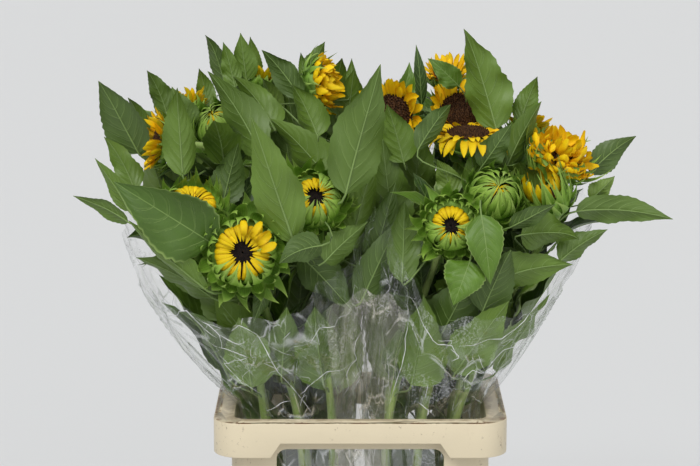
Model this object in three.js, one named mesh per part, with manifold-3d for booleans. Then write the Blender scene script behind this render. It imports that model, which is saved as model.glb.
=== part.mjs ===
// Two bunches of cut sunflowers in clear film sleeves, standing in a plastic flower
// container: a tub with a collar on top of it. Millimetres, +Z up, +X to the right,
// +Y to the back. The origin is the centre of the tub's flat underside.
import * as THREE from 'three';
import { mergeVertices } from 'three/addons/utils/BufferGeometryUtils.js';
import Module from 'manifold-3d';

// Container, a 400 x 300 mm footprint at the collar's ledge
const RIM_Z = 440;
const GAP = 0.3;
const LEDGE = { halfX: 200, halfY: 150, corner: 40, thick: 4 };
const SKIRT = { deep: 48, shallow: 28, wall: 3.5, root: 2, rampOut: 122, rampIn: 108 };
const PANEL = { halfX: 176, halfY: 126, corner: 22, wall: 4 };
const WINDOW = { halfLong: 114, halfShort: 70, top: 42, bottom: 150, corner: 14 };
const TUB = { height: 230, wall: 3, floor: 4, footX: 168, footY: 118, topX: 184, topY: 134 };
const TUB_CORNER = { foot: 26, top: 32, inside: 29, lip: 36 };
const LIP = { overhang: 5, height: 9, inset: 2 };
const CORNER_STEPS = 4;
const CUT_MARGIN = 1;

// Film sleeves: oblique cones, low in front and high behind, with a straight foot in the
// container that is a piece of its own
const FILM = { wall: 1.6, foot: -185, steps: 28, levels: 4, squareness: 2.5, rimClear: 0.5 };
const FILM_EDGE = { front: 152, behind: 195, power: 2, inner: 70 };
const FILM_SIDES = {
  left: { outer: [-172.2, -0.947, 0.00105], inner: [-3, 0.08, 0], foot: [-158, -12] },
  right: { outer: [172.2, 0.72, -0.0003], inner: [3, 0.09, 0], foot: [158, 12] },
};
const FILM_FRONT = { rim: -122.2, slope: -0.37, foot: -106 };
const FILM_BACK = { rim: 122.2, slope: 0.31, foot: 106 };

// Stems, six-sided and tapering. Each stands on the tub's floor in a grid of spots
const STEM = { foot: 0.45, radius: 6.2, neckRadius: 4.6, sides: 6, lowerSteps: 3, upperSteps: 5 };
const STEM_GRID = { x: 86, column: 40, row: 52, spread: 1.16, mouth: -20, neck: 40 };
const LEAF_ZONE_UP = 30;
const SEARCH_STEPS = 30;

// Leaves: a stalk that widens into a folded blade. A station is [share of the length,
// share of the half width]
const LEAF = { thickShare: 1 / 65, leastThick: 1.5, leastHalf: 0.4, fold: 0.34, spare: 0.4 };
const LEAF_STATIONS = [[0.17, 0.07], [0.4, 1], [0.72, 0.66]];
const HAND_SHIFTS = { lower: [0, 20, 40, 65, 90], deeper: [0, 20, -20, 40, -40], bow: [0, 0.12, -0.12] };
const HAND_RISE = 20;

// The rule that sets the other leaves round each stem, from the head down
const SPIRAL = { first: 18, pitch: 17, uneven: 0.4, turn: 137.5, jitter: 22, lowest: 20 };
const GROWTH = { upper: 95, lower: 178, drop: 150, least: 0.85, more: 0.3, slender: 0.44, plump: 0.58 };
const STANCE = { steep: 66, looser: 10, bow: 0.05, moreBow: 0.13, outward: 26, low: 8, lowShare: 0.45 };
const FACING = { back: -0.6, up: 0.8 };
const TRIES = { count: 18, turn: 21, rise: 6, rises: 3, shrink: 0.035 };
const BUNCH_MIDDLE = 120;
const SEED = 4711;

// Flower heads. Each ring is [outer radius, radius between the points, height]
const HEAD_POINTS = 9;
const HEADS = {
  half: {
    colour: '#6f9a3c', middle: 9,
    rings: [[9, 9, -34], [33, 30, -27], [55, 41, -4], [42, 38, 12], [31, 27, 22], [13, 12, 15]],
  },
  bud: {
    colour: '#6a9a3a', middle: 31,
    rings: [[8, 8, -30], [29, 27, -18], [42, 31, 0], [29, 22, 20], [14, 10, 30]],
  },
  cup: {
    colour: '#e9ac12', middle: 19,
    rings: [
      [8, 8, -34], [27, 25, -25], [46, 31, -2], [31, 27, 4], [38, 31, 26], [30, 22, 40], [17, 15, 22]],
  },
  open: {
    colour: '#f0b310', middle: 14,
    rings: [[8, 8, -30], [25, 22, -20], [42, 29, -7], [55, 40, 5], [31, 28, 8]],
  },
};

// Each stem: head place [x, y, height above the rim], the way the flower faces
// [azimuth, rise], its kind, its spot in the tub [column, row], and the leaves set by
// hand as [distance below the head, tip x, y, height above the rim, width, azimuth that
// the upper side faces, bow]
const BUNCHES = {
  left: {
    side: -1,
    stems: [
      { head: [-157, -150, 236], faces: [-88, 10], kind: 'half', size: 1.18, spot: [0, -1], leaves: [
        [62, -327, -92, 322, 84, 78, 0.1], [100, -312, -122, 280, 34, 80, 0.05],
        [80, -140, -172, 140, 48, 60, 0.3]] },
      { head: [-229, -110, 307], faces: [-82, 42], kind: 'half', size: 1.05, spot: [0, 0], leaves: [
        [80, -398, -42, 296, 50, 85, 0.12]] },
      { head: [-63, -90, 296], faces: [-80, 24], kind: 'half', size: 1, spot: [-1, -1], leaves: [
        [66, -140, -132, 418, 62, 92, 0.06], [50, 28, -58, 473, 98, -98, 0.04],
        [62, -82, -172, 200, 66, 85, 0.55], [70, 8, -100, 240, 48, 80, 0.25],
        [120, -98, -150, 142, 74, 70, 0.25]] },
      { head: [-272, -22, 366], faces: [190, 12], kind: 'open', size: 0.88, spot: [1, -1], leaves: [
        [88, -250, -82, 452, 58, 95, 0.08], [70, -322, 22, 420, 44, 50, 0.1],
        [110, -368, -34, 340, 56, 60, 0.12]] },
      { head: [-49, 60, 434], faces: [-14, 4], kind: 'cup', size: 1.05, spot: [-1, 0], leaves: [
        [122, -210, -22, 460, 66, -85, 0.12], [92, -180, 16, 452, 56, -75, 0.2],
        [76, -90, -8, 446, 54, -90, 0.08], [34, -136, 98, 484, 34, -60, 0.1],
        [40, -52, 128, 488, 46, -90, 0.05], [60, -12, 108, 466, 24, -90, 0.04]] },
      { head: [-247, 90, 416], faces: [112, 58], kind: 'open', size: 0.95, spot: [1, 1], leaves: [
        [66, -298, 76, 452, 42, 80, 0.08]] },
      { head: [-145, 120, 441], faces: [62, 66], kind: 'open', size: 1, spot: [-1, 1], leaves: [
        [64, -172, 88, 506, 44, 92, 0.08], [52, -84, 124, 476, 26, -90, 0.06],
        [110, -194, 142, 488, 34, -80, 0.06], [76, -218, 122, 500, 42, -85, 0.06]] },
      { head: [-198, 45, 376], faces: [-112, 48], kind: 'bud', size: 0.9, spot: [0, 1], leaves: [
        [96, -176, 84, 480, 40, -90, 0.05], [104, -229, 70, 455, 40, -85, 0.05]] },
      { head: [-326, 62, 396], faces: [165, 38], kind: 'cup', size: 0.95, spot: [1, 0], leaves: [
        [128, -360, 48, 447, 56, -60, 0.08], [112, -357, 2, 372, 58, -70, 0.1]] },
    ],
  },
  right: {
    side: 1,
    stems: [
      { head: [121, -130, 269], faces: [-92, 8], kind: 'half', size: 0.92, spot: [-1, -1], leaves: [
        [72, 44, -120, 297, 44, 60, 0.12], [96, 30, -136, 222, 44, 70, 0.2]] },
      { head: [181, -86, 301], faces: [-80, 34], kind: 'bud', size: 0.95, spot: [0, -1], leaves: [
        [40, 246, -112, 288, 58, 60, 0.35], [96, 180, -160, 276, 46, 88, 0.25],
        [92, 300, -92, 260, 52, 78, 0.25], [110, 96, -154, 186, 50, 75, 0.25]] },
      { head: [288, -60, 300], faces: [-40, 56], kind: 'cup', size: 1, spot: [1, -1], leaves: [
        [78, 432, -22, 262, 50, 88, 0.14], [120, 208, -156, 146, 60, 70, 0.3]] },
      { head: [157, -15, 370], faces: [92, 60], kind: 'open', size: 0.95, spot: [0, 0], leaves: [
        [82, 250, -40, 418, 54, 95, 0.08], [60, 178, -84, 372, 40, 92, 0.06]] },
      { head: [143, 98, 390], faces: [-84, 40], kind: 'open', size: 1, spot: [0, 1], leaves: [
        [110, 200, 40, 462, 44, -90, 0.06]] },
      { head: [126, 168, 436], faces: [-86, 60], kind: 'open', size: 0.9, spot: [-1, 1], leaves: [
        [60, 80, 82, 490, 26, 88, 0.05], [80, 38, 120, 470, 40, -70, 0.08]] },
      { head: [42, 30, 393], faces: [-106, 20], kind: 'open', size: 1.05, spot: [-1, 0], leaves: [
        [48, 72, 58, 468, 46, -80, 0.06], [96, 112, -44, 425, 50, 80, 0.08]] },
      { head: [241, 80, 376], faces: [50, 48], kind: 'open', size: 1, spot: [1, 1], leaves: [
        [78, 144, 6, 518, 80, 80, 0.02], [70, 246, 22, 450, 42, 95, 0.05]] },
      { head: [288, 6, 350], faces: [-14, 48], kind: 'cup', size: 1.05, spot: [1, 0], leaves: [
        [120, 382, 8, 366, 40, -80, 0.08]] },
    ],
  },
};

const COLOURS = {
  plastic: '#e4d6b6', film: '#d9e2e0', stem: '#8fae5c', leaf: '#4f7d36',
};
const CLEAR = { transparent: true, opacity: 0.3, roughness: 0.2 };
const MERGE = 1e-4;

const wasm = await Module();
wasm.setup();

const UP = new THREE.Vector3(0, 0, 1);

// A repeatable random number from 0 to 1
function makeRandom(seed) {
  let state = seed;
  return () => {
    state = (state + 0x6D2B79F5) | 0;
    let t = Math.imul(state ^ (state >>> 15), 1 | state);
    t = (t + Math.imul(t ^ (t >>> 7), 61 | t)) ^ t;
    return ((t ^ (t >>> 14)) >>> 0) / 4294967296;
  };
}

function radians(degrees) {
  return (degrees * Math.PI) / 180;
}

function mix(a, b, share) {
  return a + (b - a) * share;
}

function direction(azimuth, rise) {
  const a = radians(azimuth);
  const r = radians(rise);
  return new THREE.Vector3(Math.cos(a) * Math.cos(r), Math.sin(a) * Math.cos(r), Math.sin(r));
}

// A closed skin over rings of points with equal counts. A ring of one point is a tip.
// A looped skin joins its last ring to its first, as the wall of a bag does.
function skin(rings, looped = false) {
  const points = rings.flat();
  const starts = [];
  rings.reduce((sum, ring) => { starts.push(sum); return sum + ring.length; }, 0);
  const faces = [];
  const pairs = looped ? rings.length : rings.length - 1;
  for (let r = 0; r < pairs; r++) {
    const s = (r + 1) % rings.length;
    const n = Math.max(rings[r].length, rings[s].length);
    for (let i = 0; i < n; i++) {
      const j = (i + 1) % n;
      const a = starts[r] + (rings[r].length > 1 ? i : 0);
      const b = starts[r] + (rings[r].length > 1 ? j : 0);
      const c = starts[s] + (rings[s].length > 1 ? j : 0);
      const d = starts[s] + (rings[s].length > 1 ? i : 0);
      if (a !== b) faces.push(a, b, c);
      if (c !== d) faces.push(a, c, d);
    }
  }
  const ends = looped ? [] : [0, rings.length - 1];
  for (const r of ends) {
    for (let i = 1; i < rings[r].length - 1; i++) {
      const fan = [starts[r], starts[r] + i, starts[r] + i + 1];
      if (r === 0) fan.reverse();
      faces.push(...fan);
    }
  }
  const geometry = new THREE.BufferGeometry();
  const places = points.flatMap((p) => [p.x, p.y, p.z]);
  geometry.setAttribute('position', new THREE.Float32BufferAttribute(places, 3));
  geometry.setIndex(faces);
  return volumeOf(geometry) < 0 ? turnedOut(geometry) : geometry;
}

function volumeOf(geometry) {
  const position = geometry.attributes.position;
  const [a, b, c] = [new THREE.Vector3(), new THREE.Vector3(), new THREE.Vector3()];
  let sum = 0;
  for (let i = 0; i < geometry.index.count; i += 3) {
    a.fromBufferAttribute(position, geometry.index.getX(i));
    b.fromBufferAttribute(position, geometry.index.getX(i + 1));
    c.fromBufferAttribute(position, geometry.index.getX(i + 2));
    sum += a.dot(b.cross(c)) / 6;
  }
  return sum;
}

function turnedOut(geometry) {
  const index = Array.from(geometry.index.array);
  for (let i = 0; i < index.length; i += 3) [index[i], index[i + 1]] = [index[i + 1], index[i]];
  geometry.setIndex(index);
  return geometry;
}

function toSolid(source) {
  let geometry = source.clone();
  geometry.deleteAttribute('normal');
  geometry.deleteAttribute('uv');
  geometry = mergeVertices(geometry, MERGE);
  return new wasm.Manifold(new wasm.Mesh({
    numProp: 3,
    vertProperties: new Float32Array(geometry.attributes.position.array),
    triVerts: new Uint32Array(geometry.index.array),
  }));
}

function toGeometry(solid) {
  const mesh = solid.getMesh();
  const geometry = new THREE.BufferGeometry();
  geometry.setAttribute('position', new THREE.Float32BufferAttribute(mesh.vertProperties, 3));
  geometry.setIndex(Array.from(mesh.triVerts));
  return geometry;
}

const assembly = new THREE.Group();

function addPart(name, geometry, colour, finish = {}) {
  const look = { color: colour, roughness: 0.6, metalness: 0, ...finish };
  const mesh = new THREE.Mesh(geometry, new THREE.MeshStandardMaterial(look));
  mesh.name = name;
  assembly.add(mesh);
  return mesh;
}

// A level rounded rectangle as a ring of points
function roundedRing(halfX, halfY, corner, z) {
  const ring = [];
  const centres = [[1, 1], [-1, 1], [-1, -1], [1, -1]];
  centres.forEach(([sx, sy], quarter) => {
    for (let i = 0; i <= CORNER_STEPS; i++) {
      const a = radians(quarter * 90 + (i * 90) / CORNER_STEPS);
      const x = sx * (halfX - corner) + corner * Math.cos(a);
      const y = sy * (halfY - corner) + corner * Math.sin(a);
      ring.push(new THREE.Vector3(x, y, z));
    }
  });
  return ring;
}

function block(halfX, halfY, corner, low, high) {
  const ring = (z) => roundedRing(halfX, halfY, corner, z);
  return toSolid(skin([ring(low), ring(high)]));
}

// An extruded outline drawn in X and Z, running along Y from -reach to +reach
function extrudedAlongY(shape, reach) {
  const settings = { depth: 2 * reach, bevelEnabled: false, curveSegments: 3 };
  const geometry = new THREE.ExtrudeGeometry(shape, settings);
  geometry.rotateX(Math.PI / 2);
  geometry.translate(0, reach, 0);
  return geometry;
}

function windowShape(half) {
  const { top, bottom, corner } = WINDOW;
  const [low, high] = [RIM_Z - bottom, RIM_Z - top];
  const shape = new THREE.Shape();
  shape.moveTo(-half, low + corner);
  shape.lineTo(-half, high - corner);
  shape.absarc(-half + corner, high - corner, corner, Math.PI, Math.PI / 2, true);
  shape.lineTo(half - corner, high);
  shape.absarc(half - corner, high - corner, corner, Math.PI / 2, 0, true);
  shape.lineTo(half, low + corner);
  shape.absarc(half - corner, low + corner, corner, 0, -Math.PI / 2, true);
  shape.lineTo(-half + corner, low);
  shape.absarc(-half + corner, low + corner, corner, -Math.PI / 2, -Math.PI, true);
  return shape;
}

// The skirt's lower edge is raised between two ramps on each side
function skirtCutShape(inset) {
  const low = RIM_Z - SKIRT.deep - CUT_MARGIN;
  const high = RIM_Z - SKIRT.shallow;
  const shape = new THREE.Shape();
  shape.moveTo(-(SKIRT.rampOut - inset), low);
  shape.lineTo(-(SKIRT.rampIn - inset), high);
  shape.lineTo(SKIRT.rampIn - inset, high);
  shape.lineTo(SKIRT.rampOut - inset, low);
  return shape;
}

// The ledge with its skirt, both hollow from below
function makeLedge() {
  const { halfX, halfY, corner, thick } = LEDGE;
  const { wall, root } = SKIRT;
  const skirtLow = RIM_Z - SKIRT.deep;
  const inside = (inset, low, high) => (
    block(halfX - inset, halfY - inset, corner - wall, low, high));
  const under = inside(wall, skirtLow - CUT_MARGIN, RIM_Z - thick);
  const kept = inside(wall + root, 0, RIM_Z + CUT_MARGIN);
  const frontCut = extrudedAlongY(skirtCutShape(0), halfX);
  const sideCut = extrudedAlongY(skirtCutShape(halfX - halfY), halfX).rotateZ(Math.PI / 2);
  let ledge = block(halfX, halfY, corner, skirtLow, RIM_Z).subtract(under);
  for (const cut of [frontCut, sideCut]) ledge = ledge.subtract(toSolid(cut).subtract(kept));
  return ledge;
}

// The collar's four walls with a window in each, under the ledge
function makeCollar() {
  const { halfX, halfY, corner, wall } = PANEL;
  const walls = block(halfX, halfY, corner, TUB.height + GAP, RIM_Z);
  const well = block(halfX - wall, halfY - wall, corner - wall, 0, RIM_Z + CUT_MARGIN);
  let collar = makeLedge().add(walls).subtract(well);
  const throughY = extrudedAlongY(windowShape(WINDOW.halfLong), LEDGE.halfY - 2 * SKIRT.wall);
  const throughX = extrudedAlongY(windowShape(WINDOW.halfShort), LEDGE.halfX - 2 * SKIRT.wall);
  for (const cut of [throughY, throughX.rotateZ(Math.PI / 2)]) collar = collar.subtract(toSolid(cut));
  return toGeometry(collar);
}

function makeTub() {
  const { height, wall, floor, footX, footY, topX, topY } = TUB;
  const lipLow = height - LIP.height;
  const [lipX, lipY] = [topX + LIP.overhang, topY + LIP.overhang];
  const inset = PANEL.wall + LIP.inset;
  const mouth = [PANEL.halfX - inset, PANEL.halfY - inset, PANEL.corner - inset];
  return skin([
    roundedRing(footX, footY, TUB_CORNER.foot, 0),
    roundedRing(topX, topY, TUB_CORNER.top, lipLow),
    roundedRing(lipX, lipY, TUB_CORNER.lip, lipLow),
    roundedRing(lipX, lipY, TUB_CORNER.lip, height),
    roundedRing(...mouth, height),
    roundedRing(...mouth, lipLow),
    roundedRing(topX - wall, topY - wall, TUB_CORNER.inside, lipLow - wall),
    roundedRing(footX - wall, footY - wall, TUB_CORNER.foot - wall, floor),
  ]);
}

// Where the film's outer face lies at a height above the rim, round its bunch
function filmLimits(sideName, up) {
  const side = FILM_SIDES[sideName];
  if (up < 0) {
    const share = up / FILM.foot;
    const at = (rim, foot) => mix(rim, foot, share);
    return {
      outer: at(side.outer[0], side.foot[0]), inner: at(side.inner[0], side.foot[1]),
      front: at(FILM_FRONT.rim, FILM_FRONT.foot), back: at(FILM_BACK.rim, FILM_BACK.foot),
    };
  }
  const curve = ([start, slope, bend]) => start + slope * up + bend * up * up;
  return {
    outer: curve(side.outer), inner: curve(side.inner),
    front: FILM_FRONT.rim + FILM_FRONT.slope * up, back: FILM_BACK.rim + FILM_BACK.slope * up,
  };
}

function filmPoint(sideName, angle, up, depth) {
  const limits = filmLimits(sideName, up);
  const halfX = Math.abs(limits.outer - limits.inner) / 2 - depth;
  const halfY = (limits.back - limits.front) / 2 - depth;
  const power = 2 / FILM.squareness;
  const bulge = (v) => Math.sign(v) * Math.abs(v) ** power;
  return new THREE.Vector3(
    (limits.outer + limits.inner) / 2 + halfX * bulge(Math.cos(angle)),
    (limits.front + limits.back) / 2 + halfY * bulge(Math.sin(angle)),
    RIM_Z + up);
}

// The top edge is low in front, high behind, and higher where the two bunches meet
function filmEdge(sideName, angle) {
  const behind = ((1 + Math.sin(angle)) / 2) ** FILM_EDGE.power;
  const toPartner = Math.max(0, -BUNCHES[sideName].side * Math.cos(angle)) ** 2;
  return FILM_EDGE.front + FILM_EDGE.behind * behind + FILM_EDGE.inner * toPartner;
}

// A wall of film through rings at the heights that each level gives for an angle
function makeFilm(sideName, levels) {
  const ringAt = (heightAt, depth) => {
    const ring = [];
    for (let i = 0; i < FILM.steps; i++) {
      const angle = (i * 2 * Math.PI) / FILM.steps;
      ring.push(filmPoint(sideName, angle, heightAt(angle), depth));
    }
    return ring;
  };
  const outside = levels.map((heightAt) => ringAt(heightAt, FILM.rimClear));
  const inside = levels.map((heightAt) => ringAt(heightAt, FILM.rimClear + FILM.wall)).reverse();
  return skin([...outside, ...inside], true);
}

function sleeveLevels(sideName) {
  const steps = [...Array(FILM.levels).keys()];
  return steps.map((step) => (angle) => (filmEdge(sideName, angle) * step) / (FILM.levels - 1));
}

function footLevels() {
  return [FILM.foot, -GAP].map((height) => () => height);
}

function makeHead(kind, size) {
  const { rings, middle } = HEADS[kind];
  const count = 2 * HEAD_POINTS;
  const loops = rings.map(([outer, between, z]) => {
    const ring = [];
    for (let i = 0; i < count; i++) {
      const a = (i * 2 * Math.PI) / count;
      const radius = size * (i % 2 ? between : outer);
      ring.push(new THREE.Vector3(radius * Math.cos(a), radius * Math.sin(a), size * z));
    }
    return ring;
  });
  return skin([...loops, [new THREE.Vector3(0, 0, size * middle)]]);
}

// The stem's middle line, from its foot in the tub to the underside of its head
function stemLine(bunch, stem) {
  const [x, y, up] = stem.head;
  const [column, row] = stem.spot;
  const facing = direction(...stem.faces);
  const neck = -stem.size * HEADS[stem.kind].rings[0][2] + GAP;
  const end = new THREE.Vector3(x, y, RIM_Z + up).addScaledVector(facing, -neck);
  const bend = end.clone().addScaledVector(facing, -STEM_GRID.neck);
  const spot = (spread, z) => new THREE.Vector3(
    bunch.side * (STEM_GRID.x + STEM_GRID.column * spread * column), STEM_GRID.row * spread * row, z);
  const foot = spot(1, TUB.floor + STEM.foot);
  const mouth = spot(STEM_GRID.spread, RIM_Z + STEM_GRID.mouth);
  return new THREE.CatmullRomCurve3([foot, mouth, bend, end], false, 'centripetal');
}

// The share of the line at which it reaches a height above the rim
function shareAtHeight(line, up) {
  let [low, high] = [0, 1];
  for (let i = 0; i < SEARCH_STEPS; i++) {
    const half = (low + high) / 2;
    if (line.getPointAt(half).z < RIM_Z + up) low = half;
    else high = half;
  }
  return (low + high) / 2;
}

function taperedStem(line, from, to, steps) {
  const rings = [];
  for (let s = 0; s <= steps; s++) {
    const share = mix(from, to, s / steps);
    const centre = line.getPointAt(share);
    const along = line.getTangentAt(share);
    const side = new THREE.Vector3(0, 1, 0).cross(along).normalize();
    const other = along.clone().cross(side);
    const radius = mix(STEM.radius, STEM.neckRadius, share);
    const ring = [];
    for (let i = 0; i < STEM.sides; i++) {
      const a = (i * 2 * Math.PI) / STEM.sides;
      const point = centre.clone().addScaledVector(side, radius * Math.cos(a));
      ring.push(point.addScaledVector(other, radius * Math.sin(a)));
    }
    rings.push(ring);
  }
  return skin(rings);
}

// A leaf from its root in the stem to its tip: a stalk, then a folded blade
function leafSkin(leaf, spare = 0) {
  const chord = leaf.tip.clone().sub(leaf.root);
  const length = chord.length();
  const along = chord.clone().normalize();
  const normal = leaf.upper.clone().addScaledVector(along, -leaf.upper.dot(along)).normalize();
  const side = along.clone().cross(normal);
  const rise = leaf.bow * length * 2;
  const middle = leaf.root.clone().lerp(leaf.tip, 0.5).addScaledVector(normal, rise);
  const rib = new THREE.QuadraticBezierCurve3(leaf.root, middle, leaf.tip);
  const thick = Math.max(LEAF.leastThick, length * LEAF.thickShare) / 2 + spare;
  const rings = [[leaf.root]];
  for (const [at, share] of LEAF_STATIONS) {
    const centre = rib.getPoint(at);
    const over = side.clone().cross(rib.getTangent(at)).normalize();
    const half = Math.max(thick + LEAF.leastHalf, (leaf.width / 2) * share) + spare;
    const [out, raised] = [half * Math.cos(LEAF.fold), half * Math.sin(LEAF.fold)];
    const edge = (way) => (
      centre.clone().addScaledVector(side, way * out).addScaledVector(over, raised));
    const face = (way) => centre.clone().addScaledVector(over, way * thick);
    rings.push([edge(1), face(1), edge(-1), face(-1)]);
  }
  rings.push([leaf.tip]);
  return skin(rings);
}

// Leaves that the seeded rule sets round a stem, each with its tries
function* ruledLeaves(bunch, stem, line, random) {
  const length = line.getLength();
  const [headX, headY, headUp] = stem.head;
  const zone = length * (1 - shareAtHeight(line, LEAF_ZONE_UP)) - SPIRAL.lowest;
  const count = Math.floor((zone - SPIRAL.first) / SPIRAL.pitch);
  const outward = THREE.MathUtils.radToDeg(Math.atan2(headY, headX - bunch.side * BUNCH_MIDDLE));
  const turn = random() * 360;
  for (let k = 0; k < count; k++) {
    const below = SPIRAL.first + SPIRAL.pitch * (k + SPIRAL.uneven * random());
    const azimuth = turn + SPIRAL.turn * k + SPIRAL.jitter * (random() - 0.5);
    const grown = mix(GROWTH.upper, GROWTH.lower, Math.min(1, below / GROWTH.drop));
    const size = grown * (GROWTH.least + GROWTH.more * random());
    const width = size * mix(GROWTH.slender, GROWTH.plump, random());
    const steep = STANCE.steep - STANCE.looser * random();
    const bow = STANCE.bow + STANCE.moreBow * random();
    const root = line.getPointAt(1 - below / length);
    const low = root.z - RIM_Z < STANCE.lowShare * headUp ? STANCE.low : 0;
    const tries = [];
    for (let t = 0; t < TRIES.count; t++) {
      const way = azimuth + (t % 2 ? 1 : -1) * Math.ceil(t / 2) * TRIES.turn;
      const lean = STANCE.outward * Math.max(0, Math.cos(radians(way - outward)));
      const heading = direction(way, steep - lean + low + TRIES.rise * (t % TRIES.rises));
      const smaller = 1 - TRIES.shrink * t;
      tries.push({
        root, width: width * smaller, bow,
        tip: root.clone().addScaledVector(heading, size * smaller),
        upper: direction(way, 0).multiplyScalar(FACING.back).addScaledVector(UP, FACING.up),
      });
    }
    yield tries;
  }
}

const occupied = [];

function occupy(solid, owner) {
  occupied.push({ solid, owner, box: solid.boundingBox() });
}

function boxesMeet(a, b) {
  return [0, 1, 2].every((i) => a.min[i] < b.max[i] && b.min[i] < a.max[i]);
}

function isFree(solid, owner) {
  const box = solid.boundingBox();
  return occupied.every((other) => (
    other.owner === owner || !boxesMeet(box, other.box) || solid.intersect(other.solid).isEmpty()));
}

// The main body of a joined mass: loose scraps are dropped, sealed hollows are filled
function mainBody(solid) {
  return solid.decompose().reduce((best, piece) => (piece.volume() > best.volume() ? piece : best));
}

// A leaf may pass through its own stem, and through nothing else
function addLeaf(entry, leaf) {
  const solid = toSolid(leafSkin(leaf));
  entry.leaves = entry.leaves.add(solid);
  occupy(solid, `${entry.plant} leaf`);
}

function firstFree(entry, options) {
  for (const leaf of options) {
    if (isFree(toSolid(leafSkin(leaf, LEAF.spare)), entry.plant)) return leaf;
  }
  return null;
}

// A leaf set by hand keeps its place as seen from the front. Where something is in the
// way its root slides down the stem, its tip moves in depth, or its bow changes.
function* handOptions(entry, [below, x, y, up, width, faceTo, bow]) {
  const length = entry.line.getLength();
  for (const deeper of HAND_SHIFTS.deeper) {
    for (const lower of HAND_SHIFTS.lower) {
      for (const more of HAND_SHIFTS.bow) {
        yield {
          root: entry.line.getPointAt(1 - (below + lower) / length),
          tip: new THREE.Vector3(x, y + deeper, RIM_Z + up),
          width, bow: bow + more, upper: direction(faceTo, HAND_RISE),
        };
      }
    }
  }
}

function worldSolid(mesh) {
  mesh.updateMatrixWorld(true);
  return toSolid(mesh.geometry.clone().applyMatrix4(mesh.matrixWorld));
}

function addContainer() {
  const tub = addPart('tub', makeTub(), COLOURS.plastic);
  const collar = addPart('collar', makeCollar(), COLOURS.plastic);
  for (const part of [tub, collar]) occupy(worldSolid(part), part.name);
}

// A stem's lower length, its head, and the upper length that its leaves grow from
function addPlant(bunch, stem, plant) {
  const line = stemLine(bunch, stem);
  const split = shareAtHeight(line, LEAF_ZONE_UP);
  const head = addPart(`head_${plant}`, makeHead(stem.kind, stem.size), HEADS[stem.kind].colour);
  head.position.set(stem.head[0], stem.head[1], RIM_Z + stem.head[2]);
  head.quaternion.setFromUnitVectors(UP, direction(...stem.faces));
  const lowerEnd = split - GAP / line.getLength();
  const lower = addPart(`stem_${plant}`, taperedStem(line, 0, lowerEnd, STEM.lowerSteps), COLOURS.stem);
  const upper = toSolid(taperedStem(line, split, 1, STEM.upperSteps));
  for (const part of [head, lower]) occupy(worldSolid(part), part.name);
  occupy(upper, plant);
  return { plant, bunch, stem, line, leaves: upper };
}

addContainer();
const plants = [];
for (const [sideName, bunch] of Object.entries(BUNCHES)) {
  const walls = { sleeve: sleeveLevels(sideName), sleeve_foot: footLevels() };
  for (const [name, levels] of Object.entries(walls)) {
    const film = addPart(`${name}_${sideName}`, makeFilm(sideName, levels), COLOURS.film, CLEAR);
    occupy(worldSolid(film), film.name);
  }
  bunch.stems.forEach((stem, index) => {
    plants.push(addPlant(bunch, stem, `${sideName}_${index + 1}`));
  });
}

// Leaves set by hand come first, then the rule fills the crown between them
for (const entry of plants) {
  for (const values of entry.stem.leaves) {
    const leaf = firstFree(entry, handOptions(entry, values));
    if (leaf) addLeaf(entry, leaf);
  }
}

const random = makeRandom(SEED);
for (const entry of plants) {
  for (const tries of ruledLeaves(entry.bunch, entry.stem, entry.line, random)) {
    const leaf = firstFree(entry, tries);
    if (leaf) addLeaf(entry, leaf);
  }
  addPart(`leaves_${entry.plant}`, toGeometry(mainBody(entry.leaves)), COLOURS.leaf);
}

export default assembly;
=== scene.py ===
"""Two bunches of cut sunflowers in clear film sleeves, in a cream flower container.

Lengths are in millimetres up to the point where a mesh is made, which is in metres.
+X is to the right, +Y to the back and +Z up.
"""

import math

import bmesh
import bpy
import numpy as np
from mathutils import Matrix, Vector
from mathutils.bvhtree import BVHTree
from mathutils.kdtree import KDTree


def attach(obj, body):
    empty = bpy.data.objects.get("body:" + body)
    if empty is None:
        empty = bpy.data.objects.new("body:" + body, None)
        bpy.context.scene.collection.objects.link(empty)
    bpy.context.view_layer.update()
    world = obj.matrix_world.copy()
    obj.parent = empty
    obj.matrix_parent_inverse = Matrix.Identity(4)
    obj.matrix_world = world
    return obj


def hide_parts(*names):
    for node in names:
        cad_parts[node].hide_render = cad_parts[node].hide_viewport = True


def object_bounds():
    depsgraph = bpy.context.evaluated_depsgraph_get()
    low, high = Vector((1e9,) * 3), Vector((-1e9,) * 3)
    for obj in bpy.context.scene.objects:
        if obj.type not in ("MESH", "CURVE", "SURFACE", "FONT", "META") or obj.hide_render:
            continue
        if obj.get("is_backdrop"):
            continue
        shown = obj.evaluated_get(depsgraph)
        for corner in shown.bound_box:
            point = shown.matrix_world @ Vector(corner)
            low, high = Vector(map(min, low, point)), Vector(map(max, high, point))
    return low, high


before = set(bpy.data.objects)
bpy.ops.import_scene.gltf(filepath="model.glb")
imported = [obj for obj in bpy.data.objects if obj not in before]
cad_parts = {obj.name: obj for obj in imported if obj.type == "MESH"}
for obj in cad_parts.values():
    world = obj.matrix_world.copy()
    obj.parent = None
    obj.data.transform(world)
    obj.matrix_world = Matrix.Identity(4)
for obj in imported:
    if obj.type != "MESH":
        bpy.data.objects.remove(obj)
CAD_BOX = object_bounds()

MM = 0.001
UP = np.array((0.0, 0.0, 1.0))
# Each kind of piece draws its random numbers from a start of its own
SEED = 4711
SEED_STEPS = {"heads": 100, "leaves": 500, "films": 900}

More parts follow.
